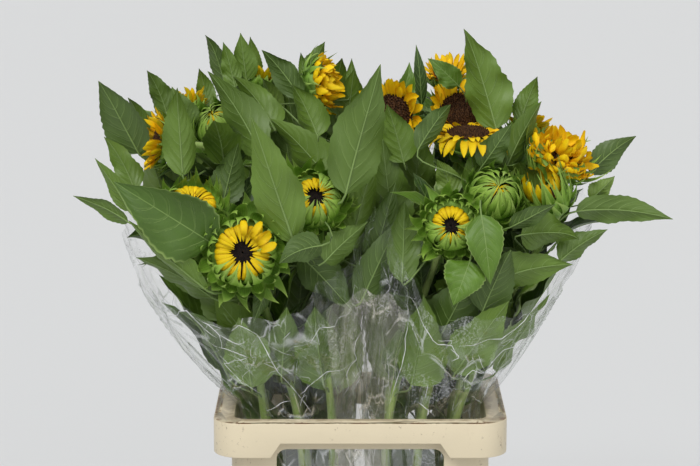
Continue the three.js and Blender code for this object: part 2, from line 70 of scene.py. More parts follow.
# Container
RIM_Z = 440
GAP = 0.3
LEDGE = {"half_x": 200, "half_y": 150, "corner": 40, "thick": 4}
SKIRT = {"deep": 48, "shallow": 28, "wall": 3.5, "ramp_out": 122, "ramp_in": 108}
PANEL = {"half_x": 176, "half_y": 126, "corner": 22, "wall": 4}
WINDOW = {"half_long": 114, "half_short": 70, "top": 42, "bottom": 150, "corner": 14, "short_of_edge": 8}
TUB = {"height": 230, "wall": 3, "floor": 4, "foot": (168, 118), "top": (184, 134)}
TUB_CORNER = {"foot": 26, "lip": 36}
LIP = {"overhang": 5, "height": 9, "inset": 6}
SLOT = {"long": 6.5, "wide": 3.2, "apart": 9.5, "pitch": 79, "from_edge": 7.5}
SLOT_PAIRS = {"long": 5, "short": 3}
# How many faces round an upright corner has, how far a cutter passes what it cuts, and small
# rounded edges
CORNER_FACES = 7
PAST = 1
FAR_PAST = 20
SOFT = {"collar": 1.3, "tub": 1.5, "faces": 3, "sharp_from": 35, "smooth_to": 40}

# Film sleeves, the same oblique cones as the solids
FILM_FOOT = -185
FILM_SQUARENESS = 2.5
FILM_INWARD = 60
FILM_EDGE = {"front": 152, "behind": 195, "power": 2, "inner": 110}
FILM_SIDES = {
    "left": {"outer": (-172.2, -0.947, 0.00105), "inner": (-3, 0.08, 0), "foot": (-158, -12)},
    "right": {"outer": (172.2, 0.72, -0.0003), "inner": (3, 0.09, 0), "foot": (158, 12)},
}
FILM_FRONT = {"rim": -122.2, "slope": -0.37, "foot": -106}
FILM_BACK = {"rim": 122.2, "slope": 0.31, "foot": 106}

# Stems
STEM = {"foot": 4.45, "radius": 6.2, "neck_radius": 4.6, "sides": 6, "steps": 16}
STEM_GRID = {"x": 86, "column": 40, "row": 52, "spread": 1.16, "mouth": -20, "neck": 40}
LEAF_ZONE_UP = 30
ARC_STEPS = 200
SEARCH_STEPS = 30
TANGENT_STEP = 1e-4

# Leaves as the solids have them: a stalk, then a folded blade
LEAF = {"thick_share": 1 / 65, "least_thick": 1.5, "least_half": 0.4, "fold": 0.34}
LEAF_STATIONS = ((0.17, 0.07), (0.4, 1), (0.72, 0.66))
HAND_RISE = 20
SPIRAL = {"first": 18, "pitch": 17, "uneven": 0.4, "turn": 137.5, "jitter": 22, "lowest": 20}
GROWTH = {"upper": 95, "lower": 178, "drop": 150, "least": 0.85, "more": 0.3, "slender": 0.44,
          "plump": 0.58}
STANCE = {"steep": 66, "looser": 10, "bow": 0.05, "more_bow": 0.13, "outward": 26, "low": 8,
          "low_share": 0.45}
FACING = {"back": -0.6, "up": 0.8}
TRIES = {"count": 18, "turn": 21, "rise": 6, "rises": 3, "shrink": 0.035}
BUNCH_MIDDLE = 120

# A leaf is one of the solids' when this share of its corners lies this near to theirs
MATCH = {"near": 0.1, "least": 0.6}

# How far each kind of head reaches back to its stem, at size 1
HEAD_BACK = {"half": 34, "bud": 30, "cup": 34, "open": 30}

# Each stem: head place (x, y, height above the rim), the way the flower faces (azimuth,
# rise), its kind, size and spot in the tub (column, row)
BUNCHES = {
    "left": {"side": -1, "stems": (
        {"head": (-157, -150, 236), "faces": (-88, 10), "kind": "half", "size": 1.18, "spot": (0, -1)},
        {"head": (-229, -110, 307), "faces": (-82, 42), "kind": "half", "size": 1.05, "spot": (0, 0)},
        {"head": (-63, -90, 296), "faces": (-80, 24), "kind": "half", "size": 1, "spot": (-1, -1)},
        {"head": (-272, -22, 366), "faces": (190, 12), "kind": "open", "size": 0.88, "spot": (1, -1)},
        {"head": (-49, 60, 434), "faces": (-14, 4), "kind": "cup", "size": 1.05, "spot": (-1, 0)},
        {"head": (-247, 90, 416), "faces": (112, 58), "kind": "open", "size": 0.95, "spot": (1, 1)},
        {"head": (-145, 120, 441), "faces": (62, 66), "kind": "open", "size": 1, "spot": (-1, 1)},
        {"head": (-198, 45, 376), "faces": (-112, 48), "kind": "bud", "size": 0.9, "spot": (0, 1)},
        {"head": (-326, 62, 396), "faces": (165, 38), "kind": "cup", "size": 0.95, "spot": (1, 0)},
    )},
    "right": {"side": 1, "stems": (
        {"head": (121, -130, 269), "faces": (-92, 8), "kind": "half", "size": 0.92, "spot": (-1, -1)},
        {"head": (181, -86, 301), "faces": (-80, 34), "kind": "bud", "size": 0.95, "spot": (0, -1)},
        {"head": (288, -60, 300), "faces": (-40, 56), "kind": "cup", "size": 1, "spot": (1, -1)},
        {"head": (157, -15, 370), "faces": (92, 60), "kind": "open", "size": 0.95, "spot": (0, 0)},
        {"head": (143, 98, 390), "faces": (-84, 40), "kind": "open", "size": 1, "spot": (0, 1)},
        {"head": (126, 168, 436), "faces": (-86, 60), "kind": "open", "size": 0.9, "spot": (-1, 1)},
        {"head": (42, 30, 393), "faces": (-106, 20), "kind": "open", "size": 1.05, "spot": (-1, 0)},
        {"head": (241, 80, 376), "faces": (50, 48), "kind": "open", "size": 1, "spot": (1, 1)},
        {"head": (288, 6, 350), "faces": (-14, 48), "kind": "cup", "size": 1.05, "spot": (1, 0)},
    )},
}

# The leaves that show from the front, listed one by one with their full width, in place of the
# solids' hand-set ones. Each is (stalk's distance below the head, blade's base x, y and height
# above the rim, its tip likewise, width, azimuth of the upper side, bow)
SET_LEAVES = {
    "left_1": ((60, (-199, -130, 249), (-324, -164, 336), 108, -95, 0.04),
               (100, (-204, -152, 184), (-306, -174, 284), 42, 80, 0.05),
               (115, (-200, -100, 214), (-322, -125, 254), 72, 80, 0.05),
               (120, (-190, -70, 150), (-300, -90, 220), 60, 80, 0.08),
               (60, (-124, -160, 184), (-144, -165, 136), 28, 85, 0.1),
               (130, (-200, -120, 168), (-300, -140, 226), 62, 80, 0.08)),
    "left_2": ((90, (-314, -90, 266), (-392, -60, 296), 32, 85, 0.08),
               (110, (-262, -30, 236), (-296, -24, 352), 88, 88, 0.06),
               (130, (-204, 0, 250), (-190, 6, 372), 84, 90, 0.06),
               (70, (-316, -60, 276), (-364, -40, 344), 32, 85, 0.08)),
    "left_3": ((66, (-88, -140, 250), (-142, -165, 422), 74, 92, 0.06),
               (50, (-20, -95, 308), (28, -98, 482), 84, 95, 0.04),
               (90, (-34, -50, 304), (-124, -30, 400), 74, 88, 0.08),
               (110, (-14, -60, 222), (20, -60, 346), 62, 95, 0.06),
               (70, (-52, -156, 250), (-108, -166, 228), 48, 90, 0.25),
               (100, (-48, -135, 220), (10, -125, 272), 52, 85, 0.15),
               (120, (-80, -140, 220), (-12, -150, 146), 72, 80, 0.12),
               (130, (0, -70, 154), (54, -60, 270), 56, 92, 0.08),
               (150, (-88, -20, 120), (-70, -24, 236), 72, 90, 0.05),
               (100, (16, -40, 200), (48, -30, 314), 50, 92, 0.06)),
    "left_4": ((110, (-310, -20, 296), (-352, -10, 372), 42, 80, 0.1),
               (90, (-292, 0, 330), (-320, 0, 424), 44, 85, 0.08),
               (80, (-240, -85, 328), (-248, -82, 452), 54, 92, 0.05)),
    "left_5": ((92, (-118, 10, 376), (-176, 16, 452), 52, 90, 0.2),
               (76, (-58, -20, 372), (-94, -12, 446), 60, 88, 0.1),
               (84, (-84, 40, 422), (-136, 40, 488), 44, 85, 0.1),
               (40, (-72, 120, 440), (-50, 128, 488), 34, 90, 0.05),
               (34, (-76, 92, 430), (-84, 98, 476), 18, 90, 0.05),
               (60, (-12, 100, 416), (-12, 108, 466), 20, 90, 0.05),
               (90, (-20, 80, 350), (-8, 84, 452), 78, 90, 0.06),
               (110, (-48, 70, 350), (-24, 72, 470), 72, 88, 0.08),
               (200, (-28, 40, 190), (2, 42, 330), 76, 90, 0.05),
               (250, (-26, 10, 90), (0, 12, 240), 80, 92, 0.05),
               (270, (-34, 64, 60), (-6, 70, 200), 76, 92, 0.05),
               (300, (-26, -60, 20), (-12, -60, 150), 60, 90, 0.05)),
    "left_6": ((70, (-216, 60, 392), (-228, 62, 452), 32, 85, 0.06),
               (80, (-236, 40, 380), (-262, 40, 436), 46, 88, 0.06)),
    "left_7": ((110, (-190, 90, 430), (-216, 90, 504), 36, 85, 0.08),
               (460, (-40, 50, -60), (-20, 50, 60), 70, 90, 0.04),
               (560, (-52, 50, -150), (-34, 50, -34), 72, 90, 0.04),
               (90, (-176, 100, 428), (-192, 100, 492), 30, 85, 0.06),
               (64, (-160, 90, 436), (-168, 90, 504), 40, 90, 0.06),
               (60, (-148, 125, 432), (-156, 125, 494), 26, 90, 0.05)),
    "left_8": ((80, (-134, -40, 346), (-208, -22, 464), 64, 85, 0.1),
               (130, (-168, 30, 230), (-148, 34, 352), 84, 88, 0.06),
               (120, (-96, 20, 290), (-108, 30, 404), 80, 92, 0.06),
               (110, (-90, 50, 356), (-108, 54, 452), 66, 88, 0.06),
               (60, (-188, -60, 284), (-166, -55, 370), 52, 88, 0.08)),
    "left_9": ((80, (-306, 20, 346), (-358, 10, 450), 72, 80, 0.08),
               (60, (-268, 50, 386), (-296, 40, 456), 42, 85, 0.06)),
    "right_1": ((90, (128, -60, 298), (104, -62, 348), 38, 88, 0.08),
                (90, (146, -150, 224), (124, -168, 168), 62, -90, 0.12),
                (72, (56, -115, 188), (58, -122, 302), 50, 85, 0.1)),
    "right_2": ((60, (154, -78, 300), (152, -82, 360), 32, 90, 0.05),
                (60, (242, -95, 300), (174, -120, 338), 56, 70, 0.2),
                (80, (200, -100, 264), (260, -115, 300), 32, 95, 0.06),
                (70, (160, -155, 288), (172, -172, 196), 56, -88, 0.12),
                (110, (180, -145, 196), (284, -135, 216), 68, 100, 0.1)),
    "right_3": ((78, (296, -40, 272), (432, -22, 258), 48, 95, 0.1),
                (100, (216, -110, 252), (298, -110, 252), 66, 95, 0.08),
                (120, (272, -70, 208), (338, -60, 250), 44, 95, 0.08)),
    "right_4": ((82, (200, -30, 324), (248, -40, 422), 52, 92, 0.06),
                (60, (78, -70, 362), (124, -84, 430), 38, 92, 0.08),
                (90, (164, -50, 338), (204, -60, 400), 44, 92, 0.06)),
    "right_5": ((400, (44, 50, -60), (24, 50, 60), 70, 90, 0.04),
                (500, (54, 50, -150), (36, 50, -34), 72, 90, 0.04),
                (60, (138, 70, 432), (96, 62, 472), 36, -90, 0.05)),
    "right_6": ((80, (88, 118, 398), (80, 120, 484), 24, -80, 0.06),),
    "right_7": ((48, (56, 78, 392), (72, 82, 464), 36, -85, 0.06),
                (100, (60, -20, 338), (36, -22, 420), 56, 88, 0.08),
                (120, (72, 0, 240), (84, 0, 382), 78, 90, 0.08),
                (140, (46, 0, 240), (30, 0, 370), 74, 90, 0.06),
                (220, (36, 30, 140), (16, 28, 300), 80, 88, 0.05),
                (270, (36, 60, 60), (14, 66, 210), 76, 88, 0.05),
                (280, (38, -60, 30), (22, -60, 180), 70, 92, 0.05),
                (110, (38, -80, 196), (40, -80, 306), 32, 85, 0.06)),
    "right_8": ((78, (188, 0, 380), (144, 6, 520), 76, 85, 0.05),
                (70, (222, 20, 388), (246, 22, 452), 38, 92, 0.05)),
    "right_9": ((120, (320, 0, 316), (384, 8, 368), 44, 100, 0.06),
                (100, (318, -15, 284), (352, -10, 316), 34, 95, 0.06)),
}
# How a set leaf may be moved and bent to touch less
SET_SHIFTS = {"deeper": (0, 10, -10, 20, -20, 32, 45), "bow": (0, 0.08, -0.08)}
# How many pairs of faces a leaf of each kind may touch, and how far it may pass the solids' box
TOUCHES = {"set": 0, "solid": 8, "lining": 5, "filler": 2}
BOX_SPARE = {"set": 17, "solid": 6, "lining": 6, "filler": 6}
FILLER_OVER = 18

# Leaves that fill the room between the solids' own, as ranges of height above the rim
# (or of distance below the head), of length and of steepness
FILLERS = {
    "low": {"count": 14, "from": (2, 170), "size": (95, 165), "steep": (50, 80), "slender": (0.5, 0.7)},
    "high": {"count": 18, "from": (10, 190), "size": (70, 140), "steep": (12, 62), "slender": (0.46, 0.68)},
}
FILLER_TRIES = {"count": 9, "turn": 41, "shrink": 0.04, "bow": (0.04, 0.17)}
# Leaves that stand against the inside of each sleeve, in rows of (height above the rim, count).
# The rows below "all_round" are only behind
LINING = {"rows": ((-120, 12), (-30, 14), (14, 11), (52, 12), (96, 13), (142, 12)), "all_round": 20,
          "size": (105, 150), "slender": (0.6, 0.85), "inside": (12, 20, 29, 39, 50, 62), "shrink": 0.05,
          "drift": 0.3, "stalk": 38, "jitter": 0.3, "uneven": 12, "bow": 0.02}

# A blade's fine form. Angles are in radians, the rest in shares of its length or half width
STALK_SHARE = 0.17
MAIN_GRID = (24, 8)
SMALL_GRID = (12, 6)
BLADE = {"early": (0.6, 0.74), "full": 0.9, "drawn": 0.12, "end": 1e-4, "plump": 0.6, "slender": 0.3,
         "least_half": 0.35,
         "tooth": 0.036, "teeth": (0.4, 1.3), "twist": 0.35, "tip_start": 0.62, "tip_bend": (-0.12, 0.05),
         "fold": (0.55, 1.35), "curl": (-1.2, 0.8), "ripple": (0.08, 0.26), "waves": (1.2, 3.2)}
STALK = {"radius": 1.35, "leave": 0.4, "arrive": 0.3, "steps": 8, "ruled_steps": 4}
RIB = {"radii": (1.2, 0.3), "scale": 150, "least": 0.55, "more": 0.6, "sunk": 0.35, "sides": 5}
VEINS = {"pairs": 5, "steps": 6, "lean": 0.34, "bend": 1.35, "reach": 0.84, "first": 0.35, "uneven": 0.2,
         "spare": 1.2, "zone": 0.86, "radii": (0.42, 0.1), "sides": 3}


def unit(v):
    return v / np.linalg.norm(v, axis=-1, keepdims=True)


def mix(a, b, share):
    return a + (b - a) * share


def direction(azimuth, rise):
    a, r = math.radians(azimuth), math.radians(rise)
    return np.array((math.cos(a) * math.cos(r), math.sin(a) * math.cos(r), math.sin(r)))


def turned(first, second, angle):
    """Two directions at right angles, both turned by an angle in their plane."""
    return first * np.cos(angle) + second * np.sin(angle), second * np.cos(angle) - first * np.sin(angle)


def four_point_curve(a, b, c, d, t):
    return (1 - t) ** 3 * a + 3 * t * (1 - t) ** 2 * b + 3 * t ** 2 * (1 - t) * c + t ** 3 * d


def repeatable(seed):
    """The random numbers from 0 to 1 that set the leaves, one after another."""
    mask = 0xFFFFFFFF
    state = seed
    while True:
        state = (state + 0x6D2B79F5) & mask
        t = ((state ^ (state >> 15)) * (1 | state)) & mask
        t = ((t + (((t ^ (t >> 7)) * (61 | t)) & mask)) & mask) ^ t
        yield (t ^ (t >> 14)) / (mask + 1)


# Meshes from arrays

def grid_faces(rows, columns, closed=False):
    """Quads over a grid of points, each row joined to the next."""
    r, c = np.meshgrid(np.arange(rows - 1), np.arange(columns if closed else columns - 1), indexing="ij")
    here, beside = r * columns + c, r * columns + (c + 1) % columns
    return np.stack((here, beside, beside + columns, here + columns), -1).reshape(-1, 4)


def grid_places(rows, columns):
    """Shares across and along for each point of a grid."""
    v, u = np.meshgrid(np.linspace(0, 1, rows), np.linspace(0, 1, columns), indexing="ij")
    return np.stack((u, v), -1)


def copies_of(faces, count, stride):
    return (faces[None] + (np.arange(count) * stride)[:, None, None]).reshape(-1, faces.shape[-1])


class Heap:
    """Many small shapes that become one mesh."""

    def __init__(self):
        self.points, self.faces, self.places, self.looks = [], [], [], []
        self.size = 0

    def add(self, points, faces, look=0, places=None):
        """Adds a shape. Its places are shares across and along, if its look depends on them."""
        points = np.asarray(points, float).reshape(-1, 3)
        if places is None:
            places = np.full((len(points), 2), 0.5)
        self.points.append(points)
        self.faces.append(np.asarray(faces) + self.size)
        self.places.append(np.asarray(places, float).reshape(-1, 2))
        self.looks.append(np.broadcast_to(look, (len(faces),)))
        self.size += len(points)

    def make(self, name, materials):
        points, faces = np.concatenate(self.points) * MM, np.concatenate(self.faces)
        mesh = bpy.data.meshes.new(name)
        mesh.from_pydata(points.tolist(), [], faces.tolist())
        layer = mesh.uv_layers.new(name="place")
        layer.data.foreach_set("uv", np.concatenate(self.places)[faces.ravel()].astype(np.float32).ravel())
        for material in materials:
            mesh.materials.append(material)
        mesh.polygons.foreach_set("material_index", np.concatenate(self.looks).astype(np.int32))
        mesh.polygons.foreach_set("use_smooth", np.ones(len(faces), bool))
        mesh.update()
        piece = bpy.data.objects.new(name, mesh)
        bpy.context.scene.collection.objects.link(piece)
        return piece


def piece_places(piece):
    """A piece's points in millimetres, and its faces."""
    mesh = piece.data
    return np.array([v.co for v in mesh.vertices]) / MM, [tuple(p.vertices) for p in mesh.polygons]


def ring_turns(sides):
    return np.arange(sides) * 2 * math.pi / sides


def tubes(paths, radii, sides, reference):
    """Round tubes along many paths at once, with points in (path, step, xyz)."""
    along = unit(np.gradient(paths, axis=1))
    across = unit(np.cross(along, reference))
    other = np.cross(across, along)
    turn = ring_turns(sides)
    ring = np.cos(turn)[:, None] * across[:, :, None] + np.sin(turn)[:, None] * other[:, :, None]
    points = paths[:, :, None] + ring * radii[..., None, None]
    count, steps = paths.shape[:2]
    return points.reshape(-1, 3), copies_of(grid_faces(steps, sides, True), count, steps * sides)


# The stems' lines

class StemLine:
    """A smooth line through a stem's foot, the tub's mouth, its bend and its neck."""

    def __init__(self, places):
        ends = [2 * places[0] - places[1], *places, 2 * places[-1] - places[-2]]
        self.pieces = [self.cubic(*ends[i:i + 4]) for i in range(len(places) - 1)]
        self.steps = np.linspace(0, 1, ARC_STEPS + 1)
        marks = np.array([self.at(t) for t in self.steps])
        lengths = np.linalg.norm(np.diff(marks, axis=0), axis=1)
        self.reached = np.concatenate(([0], np.cumsum(lengths)))
        self.length = self.reached[-1]

    @staticmethod
    def cubic(a, b, c, d):
        before, within, after = (math.sqrt(np.linalg.norm(q - p)) for p, q in ((a, b), (b, c), (c, d)))
        leave = ((b - a) / before - (c - a) / (before + within) + (c - b) / within) * within
        arrive = ((c - b) / within - (d - b) / (within + after) + (d - c) / after) * within
        return b, leave, -3 * b + 3 * c - 2 * leave - arrive, 2 * b - 2 * c + leave + arrive

    def at(self, t):
        place = min(max(t, 0), 1) * len(self.pieces)
        index = min(int(place), len(self.pieces) - 1)
        w = place - index
        start, leave, square, cube = self.pieces[index]
        return start + w * (leave + w * (square + w * cube))

    def step_at(self, share):
        return np.interp(share * self.length, self.reached, self.steps)

    def point(self, share):
        return self.at(self.step_at(share))

    def tangent(self, share):
        t = self.step_at(share)
        return unit(self.at(min(t + TANGENT_STEP, 1)) - self.at(max(t - TANGENT_STEP, 0)))

    def share_at_height(self, up):
        low, high = 0.0, 1.0
        for _ in range(SEARCH_STEPS):
            half = (low + high) / 2
            if self.point(half)[2] < RIM_Z + up:
                low = half
            else:
                high = half
        return (low + high) / 2


def stem_line(side, stem):
    x, y, up = stem["head"]
    column, row = stem["spot"]
    facing = direction(*stem["faces"])
    neck = stem["size"] * HEAD_BACK[stem["kind"]] + GAP
    end = np.array((x, y, RIM_Z + up)) - facing * neck
    bend = end - facing * STEM_GRID["neck"]

    def spot(spread, z):
        return np.array((side * (STEM_GRID["x"] + STEM_GRID["column"] * spread * column),
                         STEM_GRID["row"] * spread * row, z), float)

    return StemLine([spot(1, STEM["foot"]), spot(STEM_GRID["spread"], RIM_Z + STEM_GRID["mouth"]), bend, end])


def stem_rings(line, start, end, steps, sides, relief=None):
    """Rings of points along a stem, as [step, side, xyz]."""
    shares = np.linspace(start, end, steps + 1)
    centres = np.array([line.point(s) for s in shares])
    along = np.array([line.tangent(s) for s in shares])
    across = unit(np.cross((0, 1, 0), along))
    other = np.cross(along, across)
    turn = ring_turns(sides)
    radii = mix(STEM["radius"], STEM["neck_radius"], shares)[:, None] * np.ones(sides)
    if relief is not None:
        radii = radii + relief(shares[:, None] * line.length, turn[None])
    ring = np.cos(turn)[None, :, None] * across[:, None] + np.sin(turn)[None, :, None] * other[:, None]
    return centres[:, None] + ring * radii[..., None]


# The rule that sets the leaves, written as the solids follow it

def leaf_frame(leaf):
    """A blade's directions, and the control point of its rib."""
    chord = leaf["tip"] - leaf["root"]
    length = np.linalg.norm(chord)
    along = chord / length
    normal = unit(leaf["upper"] - along * np.dot(leaf["upper"], along))
    middle = (leaf["root"] + leaf["tip"]) / 2 + normal * leaf["bow"] * length * 2
    return length, np.cross(along, normal), middle


def rib_points(leaf, middle, at):
    at = np.asarray(at, float)[..., None]
    root, tip = leaf["root"], leaf["tip"]
    places = (1 - at) ** 2 * root + 2 * at * (1 - at) * middle + at ** 2 * tip
    return places, unit((1 - at) * (middle - root) + at * (tip - middle))


def leaf_skin(leaf):
    """The plain closed form that a leaf has among the solids."""
    length, side, middle = leaf_frame(leaf)
    thick = max(LEAF["least_thick"], length * LEAF["thick_share"]) / 2
    points = [leaf["root"]]
    for at, share in LEAF_STATIONS:
        centre, tangent = rib_points(leaf, middle, at)
        over = unit(np.cross(side, tangent))
        half = max(thick + LEAF["least_half"], leaf["width"] / 2 * share)
        out, raised = half * math.cos(LEAF["fold"]), half * math.sin(LEAF["fold"])
        points += [centre + side * out + over * raised, centre + over * thick,
                   centre - side * out + over * raised, centre - over * thick]
    return np.array(points + [leaf["tip"]])


class Room:
    """The space that is taken, as search trees with boxes round them."""

    def __init__(self, most=4000):
        self.low, self.high = np.empty((most, 3)), np.empty((most, 3))
        self.trees, self.owners = [], []

    def take(self, points, faces, owner):
        index = len(self.trees)
        self.low[index], self.high[index] = points.min(0), points.max(0)
        self.trees.append(BVHTree.FromPolygons(points.tolist(), faces))
        self.owners.append(owner)

    def touches(self, points, faces, owner):
        """How many pairs of faces meet between a shape and what is there already."""
        count = len(self.trees)
        meets = (self.low[:count] < points.max(0)).all(1) & (self.high[:count] > points.min(0)).all(1)
        near = [i for i in np.flatnonzero(meets) if self.owners[i] != owner]
        if not near:
            return 0
        tree = BVHTree.FromPolygons(points.tolist(), faces)
        return sum(len(tree.overlap(self.trees[i])) for i in near)


class SolidLeaves:
    """The corners of one plant's leaves among the solids."""

    def __init__(self, name):
        points, _ = piece_places(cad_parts[name])
        self.tree = KDTree(len(points))
        for index, point in enumerate(points):
            self.tree.insert(point, index)
        self.tree.balance()

    def has(self, leaf):
        corners = (*leaf_skin(leaf)[1:], leaf["tip"])
        found = [self.tree.find(point)[2] < MATCH["near"] for point in corners]
        return sum(found) >= MATCH["least"] * len(found)

    def first(self, options):
        return next((leaf for leaf in options if self.has(leaf)), None)


def set_options(line, values):
    below, base, tip, width, face_to, bow = values
    for deeper in SET_SHIFTS["deeper"]:
        for more in SET_SHIFTS["bow"]:
            shift = np.array((0, deeper, RIM_Z), float)
            yield {"stalk_from": 1 - below / line.length, "root": base + shift, "tip": tip + shift,
                   "width": width, "bow": bow + more, "upper": direction(face_to, HAND_RISE)}


def ruled_leaves(side, stem, line, draw):
    head_x, head_y, head_up = stem["head"]
    zone = line.length * (1 - line.share_at_height(LEAF_ZONE_UP)) - SPIRAL["lowest"]
    count = int((zone - SPIRAL["first"]) // SPIRAL["pitch"])
    outward = math.degrees(math.atan2(head_y, head_x - side * BUNCH_MIDDLE))
    turn = next(draw) * 360
    for k in range(count):
        below = SPIRAL["first"] + SPIRAL["pitch"] * (k + SPIRAL["uneven"] * next(draw))
        azimuth = turn + SPIRAL["turn"] * k + SPIRAL["jitter"] * (next(draw) - 0.5)
        grown = mix(GROWTH["upper"], GROWTH["lower"], min(1, below / GROWTH["drop"]))
        size = grown * (GROWTH["least"] + GROWTH["more"] * next(draw))
        width = size * mix(GROWTH["slender"], GROWTH["plump"], next(draw))
        steep = STANCE["steep"] - STANCE["looser"] * next(draw)
        bow = STANCE["bow"] + STANCE["more_bow"] * next(draw)
        root = line.point(1 - below / line.length)
        low = STANCE["low"] if root[2] - RIM_Z < STANCE["low_share"] * head_up else 0
        yield leaf_tries(root, azimuth, size, width, steep + low, bow, outward)


def leaf_tries(root, azimuth, size, width, steep, bow, outward):
    for t in range(TRIES["count"]):
        way = azimuth + (1 if t % 2 else -1) * math.ceil(t / 2) * TRIES["turn"]
        lean = STANCE["outward"] * max(0, math.cos(math.radians(way - outward)))
        heading = direction(way, steep - lean + TRIES["rise"] * (t % TRIES["rises"]))
        smaller = 1 - TRIES["shrink"] * t
        yield ruled_leaf(root, heading * size, width, smaller, way, bow)


def ruled_leaf(root, reach, width, smaller, way, bow):
    """A leaf whose upper side looks up and back to the stem."""
    return {"root": root, "tip": root + reach * smaller, "width": width * smaller, "bow": bow,
            "upper": direction(way, 0) * FACING["back"] + UP * FACING["up"]}


def filler_tries(line, kind, rng):
    """Leaves for the gaps, each with its tries."""
    values = FILLERS[kind]
    for k in range(values["count"]):
        away = mix(*values["from"], (k + rng.random()) / values["count"])
        share = line.share_at_height(away) if kind == "low" else 1 - away / line.length
        root, azimuth = line.point(share), rng.uniform(0, 360)
        size, steep = rng.uniform(*values["size"]), rng.uniform(*values["steep"])
        bow = rng.uniform(*FILLER_TRIES["bow"])
        width = size * rng.uniform(*values["slender"])
        tries = []
        for t in range(FILLER_TRIES["count"]):
            way, smaller = azimuth + FILLER_TRIES["turn"] * t, 1 - FILLER_TRIES["shrink"] * t
            tries.append(ruled_leaf(root, direction(way, steep) * size, width, smaller, way, bow))
        yield tries


def lining_tries(side_name, lines, rng):
    """Leaves against a sleeve's inside, each from the nearest stem."""
    jitter, uneven = LINING["jitter"], LINING["uneven"]
    for up, count in LINING["rows"]:
        for k in range(count):
            angle = (k + rng.uniform(-jitter, jitter)) * 2 * math.pi / count
            if up < LINING["all_round"] and math.sin(angle) < 0:
                continue
            size, drift = rng.uniform(*LINING["size"]), rng.uniform(-1, 1) * LINING["drift"]
            width, rise = size * rng.uniform(*LINING["slender"]), up + rng.uniform(-uneven, uneven)
            place = film_point(side_name, angle, rise, LINING["inside"][0])
            ways = [line.share_at_height(rise - LINING["stalk"]) for line in lines]
            near = min(range(len(lines)), key=lambda i: np.linalg.norm(lines[i].point(ways[i]) - place))
            tries = []
            for step, inside in enumerate(LINING["inside"]):
                smaller = 1 - LINING["shrink"] * step
                root = film_point(side_name, angle, rise, inside)
                tip = film_point(side_name, angle + drift, rise + size * smaller, inside)
                middle = film_point(side_name, angle, rise, inside + FILM_INWARD)
                tries.append({"stalk_from": ways[near], "root": root, "tip": tip, "bow": LINING["bow"],
                              "width": width * smaller, "upper": unit(middle - root)})
            yield near, tries


def grow_plants():
    """Every stem with its line and the ruled leaves that the solids have on it."""
    plants = []
    for side_name, bunch in BUNCHES.items():
        for number, stem in enumerate(bunch["stems"], 1):
            plants.append({"name": f"{side_name}_{number}", "stem": stem, "side": bunch["side"],
                           "line": stem_line(bunch["side"], stem), "leaves": []})
    draw = repeatable(SEED)
    for plant in plants:
        solid = SolidLeaves(f"leaves_{plant['name']}")
        rows = ruled_leaves(plant["side"], plant["stem"], plant["line"], draw)
        plant["ruled"] = [leaf for leaf in map(solid.first, rows) if leaf]
    return plants


def taken_room(plants, heads):
    """The room that the container, the sleeves and the flower heads take."""
    room = Room()
    for name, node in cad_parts.items():
        if name.startswith(("sleeve", "collar")):
            room.take(*piece_places(node), name)
    for plant in plants:
        for piece in heads[plant["name"]]:
            room.take(*piece_places(piece), piece.name)
    return room


def fill_crown(plants, heads):
    """Sets the leaves: those that show in front, then the solids', then the fillers."""
    room, rng = taken_room(plants, heads), np.random.default_rng(SEED)
    for plant in plants:
        for values in SET_LEAVES.get(plant["name"], ()):
            place_leaf(room, plant, set_options(plant["line"], values), rng, MAIN_GRID, "set")
    for plant in plants:
        rings = stem_rings(plant["line"], 0, 1, STEM["steps"], STEM["sides"])
        room.take(rings.reshape(-1, 3), grid_faces(*rings.shape[:2], True).tolist(), plant["name"])
    for plant in plants:
        for leaf in plant["ruled"]:
            place_leaf(room, plant, [leaf], rng, MAIN_GRID, "solid")
    for side_name, bunch in BUNCHES.items():
        own = [plant for plant in plants if plant["side"] == bunch["side"]]
        for near, tries in lining_tries(side_name, [plant["line"] for plant in own], rng):
            place_leaf(room, own[near], tries, rng, MAIN_GRID, "lining")
    for kind in FILLERS:
        for plant in plants:
            for tries in filler_tries(plant["line"], kind, rng):
                place_leaf(room, plant, tries, rng, SMALL_GRID, "filler")


def within_bounds(leaf, plant, kind):
    """Whether a leaf stays about as far in as the solids do, and a filler below its head's top."""
    low, high = (np.array(corner) / MM for corner in CAD_BOX)
    least, most = leaf["blade"][0].min(0), leaf["blade"][0].max(0)
    inside = (least > low - BOX_SPARE[kind]).all() and (most < high + BOX_SPARE[kind]).all()
    return inside and (kind != "filler" or most[2] < RIM_Z + plant["stem"]["head"][2] + FILLER_OVER)


def place_leaf(room, plant, options, rng, grid, kind):
    """Takes the first option that is free enough. A leaf in front takes its best one."""
    best, fewest = None, math.inf
    for leaf in options:
        shape_blade(leaf, rng, grid)
        free = within_bounds(leaf, plant, kind)
        touches = room.touches(*leaf["blade"], plant["name"]) if free else math.inf
        if touches < fewest:
            best, fewest = leaf, touches
        if touches <= TOUCHES[kind]:
            break
    if best and (fewest <= TOUCHES[kind] or kind == "set"):
        room.take(*best["blade"], "leaf")
        plant["leaves"].append(best)


# The fine form of a leaf

def blade_outline(v, slender):
    """Half width along the blade, from a rounded base to a drawn-out tip."""
    early = mix(*BLADE["early"], slender)
    return np.sin(math.pi * v ** early) ** BLADE["full"] * (1 - v) ** BLADE["drawn"]


